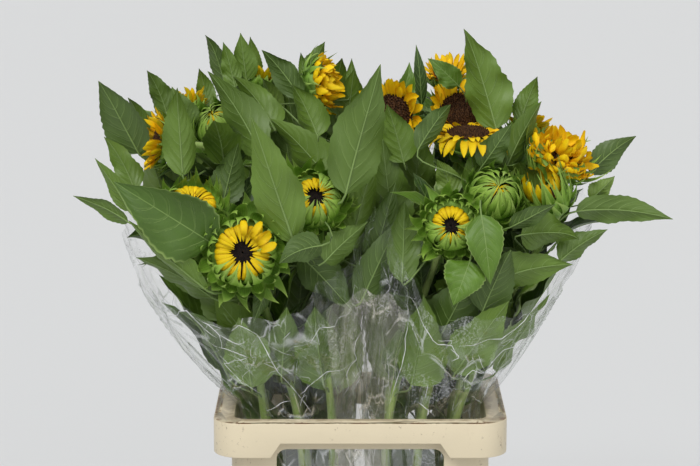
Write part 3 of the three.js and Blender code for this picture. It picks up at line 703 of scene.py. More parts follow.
def half_widths(leaf, length, v, rng):
    """The blade's half width at each share of its length, with teeth."""
    slender = np.clip((BLADE["plump"] - leaf["width"] / length) / BLADE["slender"], 0, 1)
    within = np.clip(v, BLADE["end"], 1 - BLADE["end"])
    outline = np.where((v > 0) & (v < 1), blade_outline(within, slender), 0)
    ways = np.where(np.arange(len(v)) % 2, 1, -1)
    teeth = 1 + BLADE["tooth"] * ways * rng.uniform(*BLADE["teeth"], len(v))
    return np.maximum(leaf["width"] / 2 * outline * teeth, BLADE["least_half"])


def half_section(rng, v, steps):
    """How far one half of a blade reaches out and up, as shares of its half width."""
    q = np.linspace(0, 1, steps + 1)
    angle = LEAF["fold"] * rng.uniform(*BLADE["fold"]) + rng.uniform(*BLADE["curl"]) * q ** 2
    high, waves, begin = rng.uniform(*BLADE["ripple"]), rng.uniform(*BLADE["waves"]), rng.random()
    ripple = high * np.sin(2 * math.pi * (waves * v + begin))
    between, step = (angle[1:] + angle[:-1]) / 2, np.diff(q)
    out = np.concatenate(([0], np.cumsum(np.cos(between) * step)))
    raised = np.concatenate(([0], np.cumsum(np.sin(between) * step)))
    return out, raised[None] + ripple[:, None] * q[None] ** 2


def shape_blade(leaf, rng, grid):
    """A blade as a grid of points: folded along its rib, wavy, with a bent tip."""
    along_steps, across_steps = grid
    length, side, middle = leaf_frame(leaf)
    v = np.linspace(0, 1, along_steps + 1)
    start = 0 if "stalk_from" in leaf else STALK_SHARE
    places, tangents = rib_points(leaf, middle, start + (1 - start) * v)
    half = half_widths(leaf, length, v, rng)
    twist = (rng.uniform(-BLADE["twist"], BLADE["twist"]) * v ** 1.5)[:, None]
    across, over = turned(side, unit(np.cross(side, tangents)), twist)
    bent = np.maximum(0, (v - BLADE["tip_start"]) / (1 - BLADE["tip_start"])) ** 2
    bend = rng.uniform(*BLADE["tip_bend"]) * length * bent
    places = places + over * bend[:, None]
    halves = []
    for way in (-1, 1):
        out, lift = half_section(rng, v, across_steps // 2)
        halves.append(places[:, None] + across[:, None] * (way * half[:, None] * out)[..., None]
                      + over[:, None] * (half[:, None] * lift)[..., None])
    leaf["points"], leaf["over"] = np.concatenate((halves[0][:, :0:-1], halves[1]), axis=1), over
    leaf["blade"] = leaf["points"][1:].reshape(-1, 3), grid_faces(along_steps, across_steps + 1).tolist()


def grid_sample(points, v, u):
    """Places on a grid of points, at shares v along it and u from -1 to 1 across."""
    rows, columns = points.shape[0] - 1, points.shape[1] - 1
    r, c = np.clip(v, 0, 1) * rows, (u + 1) / 2 * columns
    r0, c0 = np.minimum(r.astype(int), rows - 1), np.minimum(c.astype(int), columns - 1)
    fr, fc = (r - r0)[..., None], (c - c0)[..., None]
    near = points[r0, c0] * (1 - fc) + points[r0, c0 + 1] * fc
    far = points[r0 + 1, c0] * (1 - fc) + points[r0 + 1, c0 + 1] * fc
    return near * (1 - fr) + far * fr


def leaf_stalk(leaf, line):
    """Places along the stalk, from the stem to the blade's base."""
    middle = leaf_frame(leaf)[2]
    if "stalk_from" not in leaf:
        return rib_points(leaf, middle, np.linspace(0, STALK_SHARE, STALK["ruled_steps"] + 1)[:-1])[0]
    start, base = line.point(leaf["stalk_from"]), leaf["points"][0].mean(0)
    reach = np.linalg.norm(base - start)
    leave = start + line.tangent(leaf["stalk_from"]) * reach * STALK["leave"]
    arrive = base - unit(middle - leaf["root"]) * reach * STALK["arrive"]
    return four_point_curve(start, leave, arrive, base, np.linspace(0, 1, STALK["steps"] + 1)[:-1, None])


def add_leaf(heap, leaf, line, rng, tint, vein_look):
    """The blade, its stalk and rib as one tube, and thin side veins on the larger ones."""
    points, over = leaf["points"], leaf["over"]
    rows, columns = points.shape[:2]
    heap.add(points, grid_faces(rows, columns), tint, grid_places(rows, columns))

    stalk, rib = leaf_stalk(leaf, line), points[:, columns // 2]
    bare, thick = len(stalk), leaf_frame(leaf)[0] / RIB["scale"]
    path = np.concatenate((stalk, rib))
    radii = np.concatenate((np.full(bare, STALK["radius"]), np.linspace(*RIB["radii"], len(rib))))
    radii = radii * (RIB["least"] + thick * RIB["more"])
    sunk = np.concatenate((np.zeros(bare), radii[bare:] * RIB["sunk"]))
    reference = np.concatenate((np.repeat(over[:1], bare, 0), over))
    path = path - reference * sunk[:, None]
    side = np.cross(reference, unit(np.gradient(path, axis=0)))
    tube, tube_faces = tubes(path[None], radii[None], RIB["sides"], side[None])
    heap.add(tube, tube_faces, vein_look)
    if rows > SMALL_GRID[0] + 1:
        add_side_veins(heap, points, rng, thick, vein_look, over)


def add_side_veins(heap, points, rng, thick, look, over):
    pairs, uneven = VEINS["pairs"], VEINS["uneven"]
    first = np.arange(pairs) + VEINS["first"] + rng.uniform(-uneven, uneven, pairs)
    starts = (first / (pairs + VEINS["spare"]))[:, None]
    reach = np.linspace(0, VEINS["reach"], VEINS["steps"] + 1)
    v = starts * VEINS["zone"] + VEINS["lean"] * (1 - starts / 2) * reach ** VEINS["bend"]
    paths = np.concatenate([grid_sample(points, v, way * reach + 0 * v) for way in (-1, 1)])
    radii = np.linspace(*VEINS["radii"], VEINS["steps"] + 1) * (1 + thick) / 2 + 0 * np.concatenate((v, v))
    tube, faces = tubes(paths, radii, VEINS["sides"], np.broadcast_to(over[len(over) // 2], paths.shape))
    heap.add(tube, faces, look)


# Materials. Inside them, lengths are in metres

# How far in from the ledge's edge its dirt and the painted shade round the slots begin, in millimetres
DIRT_AND_SHADE_BAND = 14
# The heights between which the film's haze grows downwards, in metres
FILM_HAZY_BELOW = (0.47, 0.40)


def colour(red, green, blue):
    """A colour from its 0 to 255 screen values."""
    def straight(value):
        value /= 255
        return value / 12.92 if value <= 0.04045 else ((value + 0.055) / 1.055) ** 2.4
    return straight(red), straight(green), straight(blue), 1.0


class Maker:
    """Nodes of one material or group, added and joined by short calls."""

    def __init__(self, tree):
        self.tree, self.nodes = tree, tree.nodes

    def node(self, kind, **values):
        made = self.nodes.new(kind)
        for name, value in values.items():
            setattr(made, name, value)
        return made

    def join(self, source, target):
        self.tree.links.new(source, target)

    def put(self, target, value):
        if isinstance(value, bpy.types.NodeSocket):
            self.join(value, target)
        else:
            target.default_value = value

    def sum(self, operation, first, second=0.0, third=None, clamp=False):
        """One step of arithmetic, by the name that Blender has for it."""
        made = self.node("ShaderNodeMath", operation=operation, use_clamp=clamp)
        values = (first, second) if third is None else (first, second, third)
        for socket, value in zip(made.inputs, values):
            self.put(socket, value)
        return made.outputs[0]

    def blend(self, share, first, second, blend_type="MIX"):
        made = self.node("ShaderNodeMix", data_type="RGBA", blend_type=blend_type)
        for name, value in (("Factor", share), ("A", first), ("B", second)):
            sockets = [s for s in made.inputs if s.name == name and s.enabled]
            self.put(sockets[0], value)
        return [s for s in made.outputs if s.enabled][0]

    def ramp(self, value, low, high):
        """0 below low and 1 above high, softly between."""
        made = self.node("ShaderNodeMapRange", interpolation_type="SMOOTHSTEP")
        for name, amount in (("Value", value), ("From Min", low), ("From Max", high)):
            self.put(made.inputs[name], amount)
        return made.outputs["Result"]

    def times(self, first, *more):
        for factor in more:
            first = self.sum("MULTIPLY", first, factor)
        return first

    def minus(self, first, second):
        return self.sum("SUBTRACT", first, second)

    def absolute(self, value):
        return self.sum("ABSOLUTE", value)

    def own_place(self):
        return self.node("ShaderNodeTexCoord").outputs["Object"]

    def split(self, vector):
        made = self.node("ShaderNodeSeparateXYZ")
        self.join(vector, made.inputs[0])
        return made.outputs

    def strip_place(self):
        """On a blade or strip: shares across and along, and how far off the middle line."""
        parts = self.split(self.node("ShaderNodeUVMap", uv_map="place").outputs[0])
        return parts["X"], parts["Y"], self.absolute(self.sum("MULTIPLY_ADD", parts["X"], 2.0, -1.0))

    def mapped(self, coords, **values):
        made = self.node("ShaderNodeMapping")
        for name, value in values.items():
            made.inputs[name].default_value = value
        self.join(coords, made.inputs["Vector"])
        return made.outputs["Vector"]

    def noise(self, scale, detail=3.0, rough=0.5, stretch=None, twist=0.0):
        coords = self.own_place()
        if stretch:
            coords = self.mapped(coords, Scale=stretch)
        made = self.node("ShaderNodeTexNoise")
        self.join(coords, made.inputs["Vector"])
        values = {"Scale": scale, "Detail": detail, "Roughness": rough, "Distortion": twist}
        for name, value in values.items():
            made.inputs[name].default_value = value
        return made.outputs["Fac"]

    def bump(self, height, strength, distance):
        made = self.node("ShaderNodeBump")
        made.inputs["Strength"].default_value = strength
        made.inputs["Distance"].default_value = distance
        self.put(made.inputs["Height"], height)
        return made.outputs["Normal"]

    def use(self, group, **values):
        made = self.node("ShaderNodeGroup", node_tree=group)
        for name, value in values.items():
            self.put(made.inputs[name.replace("_", " ")], value)
        return made.outputs

    def coat(self, shader, tone, height, strength, distance):
        """Joins a colour and a relief to the shader."""
        self.join(tone, shader.inputs["Base Color"])
        self.join(self.bump(height, strength, distance), shader.inputs["Normal"])

    def see_through(self, shader, share):
        """Lets the shader show by this share, and what lies behind it by the rest."""
        clear, both = self.node("ShaderNodeBsdfTransparent"), self.node("ShaderNodeMixShader")
        for source, socket in zip((share, clear.outputs[0], shader.outputs[0]), both.inputs):
            self.join(source, socket)
        self.join(both.outputs[0], self.nodes["Material Output"].inputs["Surface"])


def new_material(name, roughness, **constants):
    material = bpy.data.materials.new(name)
    material.use_nodes = True
    shader = material.node_tree.nodes["Principled BSDF"]
    shader.inputs["Roughness"].default_value = roughness
    for key, value in constants.items():
        shader.inputs[key.replace("_", " ")].default_value = value
    return material, Maker(material.node_tree), shader


def new_group(name, inputs, outputs):
    group = bpy.data.node_groups.new(name, "ShaderNodeTree")
    for way, sockets in (("INPUT", inputs), ("OUTPUT", outputs)):
        for socket_name, kind in sockets:
            group.interface.new_socket(socket_name, in_out=way, socket_type=kind)
    maker = Maker(group)
    return group, maker, maker.node("NodeGroupInput").outputs, maker.node("NodeGroupOutput").inputs


FLOAT, COLOUR = "NodeSocketFloat", "NodeSocketColor"


def make_mottling():
    """Soft patches and a fine grain over a plain colour."""
    group, m, given, out = new_group(
        "mottling", [("Colour", COLOUR), ("Depth", FLOAT)], [("Colour", COLOUR), ("Height", FLOAT)])
    patches, grain = m.noise(22, 3), m.noise(420, 2)
    both = m.sum("ADD", m.times(patches, 0.7), m.times(grain, 0.3))
    level = m.sum("ADD", 1.0, m.times(m.minus(both, 0.5), given["Depth"]))
    grey = m.node("ShaderNodeCombineColor")
    for socket in grey.inputs[:3]:
        m.join(level, socket)
    m.join(m.blend(1.0, given["Colour"], grey.outputs[0], "MULTIPLY"), out["Colour"])
    m.join(both, out["Height"])
    return group


def make_blade_marks():
    """Side veins and the pale margin, from a blade's own places: 0 to 1 across and along."""
    group, m, _, out = new_group("blade_marks", [], [("Veins", FLOAT), ("Margin", FLOAT), ("Quilt", FLOAT)])
    _, along, off = m.strip_place()
    lean = m.times(m.sum("POWER", off, VEINS["bend"]), VEINS["lean"])
    run = m.times(m.minus(along, lean), (VEINS["pairs"] + VEINS["spare"]) / VEINS["zone"])
    wobble = m.sum("MULTIPLY_ADD", m.noise(40, 1), 0.5, -0.6)
    away = m.absolute(m.minus(m.sum("FRACT", m.sum("ADD", run, wobble)), 0.5))
    inside = m.ramp(off, 0.95, 0.55)
    m.join(m.times(m.ramp(away, 0.4, 0.5), inside), out["Veins"])
    m.join(m.ramp(off, 0.9, 0.98), out["Margin"])
    m.join(m.times(m.minus(0.5, away), inside), out["Quilt"])
    return group


def make_crumple_and_glints():
    """Crossing folds of clear film: a height for its facets, its painted glint lines and pale patches."""
    group, m, _, out = new_group("crumple", [], [("Height", FLOAT), ("Glints", FLOAT), ("Patches", FLOAT)])
    coords = m.own_place()
    shares = []
    for tilt, stretch, scale in ((0.5, (1, 1, 0.35), 30), (-0.7, (1, 1, 0.5), 17)):
        cells = m.node("ShaderNodeTexVoronoi", feature="DISTANCE_TO_EDGE")
        cells.inputs["Scale"].default_value = scale
        m.join(m.mapped(coords, Rotation=(0, tilt, 0.3), Scale=stretch), cells.inputs["Vector"])
        shares.append(cells.outputs["Distance"])
    both = m.sum("ADD", m.sum("MINIMUM", shares[0], 0.3), m.sum("MINIMUM", shares[1], 0.35))
    m.join(m.sum("ADD", both, m.times(m.noise(60, 3), 0.25)), out["Height"])
    where = m.ramp(m.noise(16, 3), 0.52, 0.62)
    # Painted glints: thin bright lines along the cell edges, where the noise allows
    m.join(m.times(m.ramp(m.sum("MINIMUM", *shares), 0.035, 0.005), where), out["Glints"])
    m.join(m.ramp(m.noise(20, 4, 0.65, (1, 1, 0.4), 1.0), 0.54, 0.66), out["Patches"])
    return group


MOTTLING = make_mottling()
BLADE_MARKS = make_blade_marks()
CRUMPLE_AND_GLINTS = make_crumple_and_glints()


def leaf_material(name, face, back, vein):
    """The veins and the margin show on the upper side, the veins alone on the lower."""
    material, m, shader = new_material(name, 0.5, Sheen_Weight=0.05, Sheen_Roughness=0.4)
    marks = m.use(BLADE_MARKS)
    upper, under = m.use(MOTTLING, Colour=face, Depth=0.75), m.use(MOTTLING, Colour=back, Depth=0.35)
    veined = m.blend(m.times(marks["Veins"], 0.14), upper["Colour"], vein)
    edged = m.blend(m.times(marks["Margin"], 0.7), veined, vein)
    under_veined = m.blend(m.times(marks["Veins"], 0.16), under["Colour"], vein)
    behind = m.node("ShaderNodeNewGeometry").outputs["Backfacing"]
    height = m.sum("ADD", m.times(marks["Quilt"], 1.6), m.times(upper["Height"], 0.9))
    m.coat(shader, m.blend(behind, edged, under_veined), height, strength=0.5, distance=0.0012)
    return material


def rib_material():
    material, m, shader = new_material("leaf_ribs", 0.55, Sheen_Weight=0.1)
    tone = m.use(MOTTLING, Colour=colour(122, 148, 78), Depth=0.4)
    m.coat(shader, tone["Colour"], tone["Height"], strength=0.3, distance=0.0006)
    return material


def strip_material(name, base, tip, edge, edge_share, roughness=0.5):
    """Petals and bracts: base to tip along the strip, other colour at its edges, fine lines."""
    material, m, shader = new_material(name, roughness, Specular_IOR_Level=0.25)
    across, along, off = m.strip_place()
    run = m.blend(m.ramp(along, 0.35, 1.0), base, tip)
    lines = m.absolute(m.sum("SINE", m.times(across, 22.0)))
    lined = m.blend(m.times(m.minus(1.0, lines), 0.22), run, edge)
    edged = m.blend(m.times(m.ramp(off, 0.55, 1.0), edge_share), lined, edge)
    tone = m.use(MOTTLING, Colour=edged, Depth=0.4)
    m.coat(shader, tone["Colour"], lines, strength=0.35, distance=0.0005)
    return material


def stem_material():
    """Pale streaks along the stem and small brown spots."""
    material, m, shader = new_material("stem_green", 0.55, Sheen_Weight=0.3, Sheen_Roughness=0.5)
    streaks = m.noise(60, 3, 0.55, (1, 1, 0.12))
    pale = m.blend(m.ramp(streaks, 0.35, 0.7), colour(132, 162, 72), colour(178, 198, 116))
    spots = m.ramp(m.noise(240, 2), 0.66, 0.74)
    spotted = m.blend(m.times(spots, 0.5), pale, colour(92, 84, 44))
    m.coat(shader, spotted, m.noise(700, 2, 0.6, (1, 1, 0.3)), strength=0.5, distance=0.0006)
    return material


def disc_material(name, low, high, scale):
    material, m, shader = new_material(name, 0.8, Specular_IOR_Level=0.2)
    tone = m.ramp(m.noise(scale, 3), 0.35, 0.65)
    m.coat(shader, m.blend(tone, low, high), m.noise(scale * 1.6, 3), strength=0.9, distance=0.0015)
    return material


def plastic_material():
    """Cream plastic, with the dirt of use and a painted shade round the slots laid over it in layers."""
    material, m, shader = new_material("cream_plastic", 0.42)
    tone = m.use(MOTTLING, Colour=colour(218, 205, 176), Depth=0.1)["Colour"]
    for share, dirt_and_shade in plastic_dirt_and_shade(m):
        tone = m.blend(share, tone, dirt_and_shade)
    m.join(m.sum("MULTIPLY_ADD", m.noise(90, 4), 0.22, 0.32), shader.inputs["Roughness"])
    m.coat(shader, tone, m.noise(900, 2), strength=0.12, distance=0.0004)
    return material


def plastic_dirt_and_shade(m):
    """Dust, scuffs, grime, a reddish-brown painted shade round the slots, and specks, each as its share and
    its colour.
    """
    level = m.ramp(m.split(m.node("ShaderNodeNewGeometry").outputs["Normal"])["Z"], 0.75, 0.98)
    place = m.split(m.own_place())
    past_x, past_y = (m.minus(m.absolute(place[axis]), (LEDGE[half] - DIRT_AND_SHADE_BAND) * MM)
                      for axis, half in (("X", "half_x"), ("Y", "half_y")))
    corners = m.ramp(m.sum("MINIMUM", past_x, past_y), -0.05, -0.01)
    near_edge = m.ramp(m.sum("MAXIMUM", past_x, past_y), 0, 0.005)
    areas = m.sum("MAXIMUM", m.ramp(m.noise(7, 2), 0.46, 0.6), corners)
    spacing = m.sum("FRACT", m.sum("MULTIPLY_ADD", place["X"], 1 / (SLOT["pitch"] * MM), 0.5))
    # Where the slots are: for the painted shade round them
    slot_shade = m.ramp(m.absolute(m.minus(spacing, 0.5)), 0.15, 0.11)
    rubbed = m.ramp(m.noise(70, 5, 0.7, (1, 1, 0.35)), 0.62, 0.72)
    return (
        (m.times(level, m.ramp(m.noise(30, 4, 0.65), 0.38, 0.62), 0.62), colour(138, 118, 88)),
        (m.times(rubbed, areas, 0.62), colour(150, 124, 86)),
        (m.times(near_edge, level, m.ramp(m.noise(48, 4, 0.75), 0.44, 0.56), 0.85), colour(116, 84, 52)),
        # A reddish-brown painted shade round the slots, near the ledge's outer edge
        (m.times(slot_shade, near_edge, level, 0.8), colour(118, 72, 40)),
        (m.times(m.ramp(m.noise(150, 4, 0.7), 0.62, 0.68), areas, 0.55), colour(92, 66, 38)),
    )


def film_material(name, haze, tone, metallic):
    """Clear wrapping film: see-through, with mirror-like glints on its folds, painted glint lines where it is
    made less clear, and a thin haze.
    """
    material, m, shader = new_material(name, 0.13, Metallic=metallic, Base_Color=tone)
    facing = m.node("ShaderNodeLayerWeight")
    facing.inputs["Blend"].default_value = 0.5
    edge_on = m.sum("POWER", facing.outputs["Facing"], 3.0)
    crumple = m.use(CRUMPLE_AND_GLINTS)
    drops = m.times(m.ramp(m.noise(330, 2), 0.5, 0.58), m.ramp(m.noise(11, 2), 0.52, 0.62))
    low = m.ramp(m.split(m.own_place())["Z"], *FILM_HAZY_BELOW)
    share = haze
    # The glint lines let the mirror-like film show more there: a painted glint
    parts = ((low, 0.16), (edge_on, 0.5), (crumple["Glints"], 0.4), (crumple["Patches"], 0.12))
    for part, weight in parts:
        share = m.sum("MULTIPLY_ADD", part, weight, share)
    share = m.sum("MULTIPLY_ADD", drops, 0.2, share, clamp=True)
    m.join(m.bump(crumple["Height"], 0.9, 0.012), shader.inputs["Normal"])
    m.see_through(shader, share)
    return material


def painted_glint_material():
    """The sharp folds of the film in plain white: a painted glint, white lines that stand in for the light
    they catch.
    """
    material, m, shader = new_material("film_painted_glints", 0.12, Base_Color=(0.95, 0.96, 0.97, 1))
    m.see_through(shader, m.sum("MULTIPLY_ADD", m.ramp(m.noise(45, 2), 0.4, 0.6), 0.6, 0.25))
    return material


LEAF_VEIN = colour(138, 162, 86)
LEAF_TINTS = [
    leaf_material("leaf_fresh", colour(84, 118, 26), colour(94, 122, 38), LEAF_VEIN),
    leaf_material("leaf_mid", colour(70, 100, 25), colour(84, 110, 36), LEAF_VEIN),
    leaf_material("leaf_deep", colour(54, 82, 22), colour(72, 96, 35), LEAF_VEIN),
    leaf_material("leaf_pale", colour(94, 126, 36), colour(106, 132, 50), colour(148, 170, 92)),
]
TINT_ODDS = (0.36, 0.32, 0.24, 0.08)
VEIN_MATERIAL = rib_material()
STEM_MATERIAL = stem_material()
BRACTS = [
    strip_material("bract_bright", colour(112, 152, 46), colour(158, 190, 84), colour(160, 190, 88), 0.5),
    strip_material("bract_green", colour(114, 154, 56), colour(164, 190, 96), colour(162, 190, 96), 0.5),
]
PETALS = [
    strip_material("petal_yellow", colour(224, 190, 4), colour(234, 204, 8), colour(194, 142, 6), 0.5, 0.6),
    strip_material("petal_gold", colour(248, 198, 8), colour(255, 220, 16), colour(214, 146, 10), 0.5, 0.6),
    strip_material("petal_orange", colour(198, 112, 8), colour(230, 164, 12), colour(150, 76, 10), 0.8, 0.6),
]
DARK_DISC = disc_material("disc_dark", colour(14, 10, 9), colour(34, 24, 18), 300)
BROWN_DISC = disc_material("disc_brown", colour(48, 28, 16), colour(92, 62, 36), 260)
PLASTIC = plastic_material()
FILM = film_material("film_clear", 0.055, (0.88, 0.9, 0.9, 1), 0.85)
LAP_FILM = film_material("film_lap", 0.12, (0.88, 0.85, 0.76, 1), 0.5)
# White fold lines on the film: a painted glint
PAINTED_GLINT = painted_glint_material()


# Flower heads

def bracts(tint, count, half, loose, *path, inner=False):
    """A ring of like green strips. Its path is four control points, (radius, height), at size 1."""
    return {"look": "bracts", "outline": "bract", "tint": tint, "count": count, "half": half,
            "loose": loose, "path": path, "inner": inner, "ruffle": STRIP["ruffle"]}


def petals(outline, tint, count, half, loose, *path, ruffle=None):
    """A ring of like petals, with a path as for the bracts."""
    return {"look": "petals", "outline": outline, "tint": tint, "count": count, "half": half,
            "loose": loose, "path": path, "inner": False, "ruffle": ruffle or STRIP["ruffle"]}


# A strip's fine form: how far each value strays, as a share of the whorl's looseness or width
STRIP = {"steps": 7, "across": 4, "uneven": 0.32, "ease": (0, 0.3, 0.7, 1), "stretch": 0.6, "stray": 45,
         "stray_radius": 0.45, "sweep": 1.2, "roll": 2.2, "width": (0.85, 1.15), "cup": (0.15, 0.55),
         "ruffle": 0.12, "begin": 6, "waves": (7, 2.4), "other_tint": 0.25}
# A strip's half width along its length, as (share of the length, share of the half width)
OUTLINES = {
    "bract": ((0, 0.85), (0.2, 1), (0.44, 0.76), (0.64, 0.42), (0.82, 0.16), (1, 0.02)),
    "wedge": ((0, 1), (0.5, 0.95), (0.84, 0.64), (1, 0.1)),
    "ray": ((0, 0.4), (0.3, 0.82), (0.6, 1), (0.84, 0.72), (1, 0.08)),
    "round": ((0, 0.4), (0.35, 0.85), (0.72, 1), (0.93, 0.72), (1, 0.3)),
}
WHORLS = {
    "half": (
        bracts(1, 14, 9.5, 0.1, (32, -22), (46, -28), (60, -24), (66, -4)),
        bracts(1, 17, 9.5, 0.1, (34, -17), (51, -19), (57, -6), (57, 12)),
        bracts(0, 19, 9, 0.11, (35, -11), (50, -10), (52, 9), (46, 27)),
        bracts(0, 25, 7.5, 0.09, (35, -6), (43, 0), (42, 13), (32, 25)),
        bracts(0, 20, 9, 0.09, (35, -5), (43, 5), (38, 22), (16, 27), inner=True),
        petals("wedge", 0, 27, 3.5, 0.05, (31, 2), (35, 14), (27, 22), (11, 14)),
        petals("wedge", 0, 25, 3.6, 0.06, (30, 0), (33, 12), (25, 20), (13, 12)),
    ),
    "shut": (
        bracts(1, 13, 9.5, 0.16, (31, -22), (45, -30), (57, -25), (66, -8)),
        bracts(0, 18, 9, 0.14, (34, -18), (50, -19), (57, -2), (59, 16)),
        bracts(0, 19, 9, 0.13, (35, -11), (49, -9), (49, 14), (42, 34)),
        bracts(0, 24, 7, 0.1, (34, -6), (41, -1), (40, 12), (32, 22)),
        bracts(0, 19, 9.5, 0.1, (34, -4), (42, 6), (34, 26), (10, 31), inner=True),
        bracts(0, 17, 9, 0.1, (32, -2), (38, 8), (30, 27), (11, 30), inner=True),
        petals("wedge", 0, 24, 3.5, 0.05, (28, 2), (31, 14), (23, 24), (11, 17)),
        petals("wedge", 0, 22, 3.6, 0.06, (27, 0), (29, 12), (22, 22), (13, 15)),
    ),
    "bud": (
        bracts(1, 14, 8.5, 0.16, (29, -17), (45, -22), (53, -8), (58, 10)),
        bracts(0, 18, 8.5, 0.13, (32, -11), (46, -7), (48, 14), (44, 34)),
        bracts(0, 19, 9, 0.1, (33, -4), (42, 4), (38, 26), (22, 41)),
        bracts(0, 18, 9.5, 0.09, (32, 0), (38, 12), (29, 31), (8, 38)),
        bracts(1, 13, 9, 0.09, (29, 3), (33, 14), (22, 30), (4, 32)),
        petals("wedge", 0, 9, 3.4, 0.08, (24, 4), (27, 16), (15, 27), (3, 28)),
    ),
    "cup": (
        bracts(1, 15, 6, 0.15, (29, -20), (46, -22), (54, -10), (58, 0)),
        bracts(0, 15, 6, 0.15, (31, -12), (47, -12), (51, 2), (52, 16)),
        petals("round", 1, 24, 6.4, 0.12, (22, -4), (38, -6), (46, 0), (48, 9), ruffle=0.6),
        petals("round", 1, 22, 6.4, 0.14, (17, 0), (32, 0), (40, 7), (39, 17), ruffle=0.7),
        petals("round", 1, 18, 6, 0.16, (12, 3), (24, 5), (31, 13), (27, 23), ruffle=0.7),
        petals("round", 0, 12, 5.5, 0.16, (6, 6), (13, 9), (18, 17), (14, 26), ruffle=0.7),
    ),
    "green_cup": (
        bracts(1, 15, 6.5, 0.16, (29, -20), (44, -22), (48, 0), (52, 16)),
        bracts(0, 17, 6.5, 0.14, (31, -12), (44, -8), (42, 20), (44, 46)),
        bracts(0, 15, 6, 0.13, (30, -4), (40, 4), (36, 30), (34, 54)),
        petals("round", 0, 13, 6, 0.14, (18, 0), (32, 6), (32, 24), (24, 38), ruffle=0.5),
    ),
    "open": (
        bracts(1, 17, 7.5, 0.12, (22, -20), (38, -20), (44, -10), (47, 0)),
        bracts(0, 15, 7, 0.13, (25, -14), (40, -10), (42, 2), (43, 14)),
        petals("ray", 0, 22, 6, 0.1, (27, -2), (36, 4), (44, 10), (49, 14)),
        petals("ray", 1, 18, 5.6, 0.12, (26, 1), (33, 11), (38, 19), (42, 25), ruffle=0.3),
    ),
    "spread": (
        bracts(1, 15, 7.5, 0.1, (22, -20), (36, -22), (42, -14), (46, -8)),
        petals("ray", 0, 24, 6.4, 0.1, (27, -2), (40, 4), (50, -2), (54, -18)),
        petals("ray", 0, 18, 6, 0.13, (26, 1), (36, 8), (43, 8), (48, 2), ruffle=0.3),
    ),
}
# Heads that look other than their kind among the solids, with their size beside the solid's
LOOKS_AS = {
    "left_2": ("half", 0.98), "left_3": ("shut", 1), "left_5": ("cup", 0.84), "left_6": ("open", 0.74),
    "left_7": ("open", 0.7), "left_9": ("green_cup", 0.62), "right_1": ("shut", 1),
    "right_3": ("green_cup", 0.95), "right_4": ("spread", 1), "right_6": ("open", 0.8),
    "right_8": ("open", 0.7),
}
# Heads that face a little otherwise than their solids
FACES = {"left_2": (-84, 54), "right_3": (-130, 62), "right_4": (-88, 84), "right_6": (-86, 68),
         "right_9": (-52, 56)}
# Heads that hang a little away from their solids
SHIFTS = {"left_2": (4, -6, -24), "left_6": (0, 0, -14), "left_9": (30, 10, -30), "right_3": (-12, 0, -4),
          "right_4": (-10, 0, 2), "right_9": (-2, 0, -12)}
# The green cup under a head as (radius, height), and the seed disc
BOWLS = {
    "half": ((3, -36), (9, -35), (28, -28), (37, -17), (38, -6), (35, 0), (29, 1), (26, 0)),
    "bud": ((3, -32), (8, -31), (26, -22), (35, -9), (35, 0), (30, 2), (26, 0)),
    "cup": ((3, -36), (8, -35), (27, -26), (36, -12), (37, 0), (31, 4), (22, 0)),
    "open": ((3, -32), (8, -31), (23, -22), (33, -9), (33, -1), (30, 2), (26, -2)),
}
DISCS = {
    "half": {"radius": 30, "edge": 6, "middle": 8, "florets": 0},
    "bud": {"radius": 14, "edge": 12, "middle": 18, "florets": 0},
    "shut": {"radius": 28, "edge": 6, "middle": 10, "florets": 0},
    "cup": {"radius": 18, "edge": 0, "middle": 8, "florets": 100},
    "open": {"radius": 31, "edge": 3, "middle": 12, "florets": 260},
}
LATHE_SIDES = 32
DOME = {"inner": 0.04, "rings": 9}
FLORET = {"turn": 137.508, "sides": 5, "wide": 0.9, "tall": (2.5, 4.5), "least": 0.5, "more": 0.7,
          "lean": 0.8, "top": 0.3}

# Petals that have fallen outwards on one head, as (azimuth on the head, spread)
SPILLED = {"left_1": (50, 30)}
SPILL = petals("round", 0, 7, 4.8, 0.1, (19, 18), (23, 29), (30, 31), (37, 19), ruffle=0.4)
# Heads whose green inner strips leave petals bare, as (azimuth on the head, spread)
BARED = {"left_1": (115, 95), "left_2": (60, 80), "left_3": (135, 50), "right_1": (88, 80)}


def polar(radius, turn, height):
    """Places from their distances to the axis, azimuths and heights."""
    return np.stack((radius * np.cos(turn), radius * np.sin(turn), height + 0 * turn), -1)


def strip_turns(rng, count, spread, bare):
    """The azimuths of a ring's strips, on a part of it only if spread, and none where it is bare."""
    turn = (np.arange(count) + rng.random()) * 2 * math.pi / count
    if spread:
        centre, reach = (math.radians(v) for v in spread)
        turn = centre + np.linspace(-reach, reach, count)
    turn = turn + rng.normal(0, STRIP["uneven"], count) * math.pi / count
    if bare:
        centre, reach = (math.radians(v) for v in bare)
        turn = turn[np.cos(turn - centre) < math.cos(reach)]
    return turn


def strip_lines(rng, whorl, turn, t):
    """Each strip's middle line, and the directions across the strip and out of its face."""
    count, loose = len(turn), whorl["loose"]
    ease = np.array(STRIP["ease"])[:, None]
    path = np.repeat(np.array(whorl["path"], float)[None], count, 0)
    path = path * (1 + rng.normal(0, loose, (count, 1, 1)) * ease * STRIP["stretch"])
    stray = rng.normal(0, loose * STRIP["stray"], (count, 1, 2)) * ease ** 2
    path = path + stray * (STRIP["stray_radius"], 1)
    flat = four_point_curve(*(path[:, i, None] for i in range(4)), t[None, :, None])
    sweep = turn[:, None] + rng.normal(0, loose * STRIP["sweep"], count)[:, None] * t ** 2
    centre = polar(flat[..., 0], sweep, flat[..., 1])
    tangent = unit(np.gradient(centre, axis=1))
    level = np.stack((-np.sin(sweep), np.cos(sweep), np.zeros_like(sweep)), -1)
    across = unit(level - tangent * (level * tangent).sum(-1, keepdims=True))
    roll = (rng.normal(0, loose * STRIP["roll"], count)[:, None] * t ** 1.5)[..., None]
    return centre, *turned(across, np.cross(tangent, across), roll)


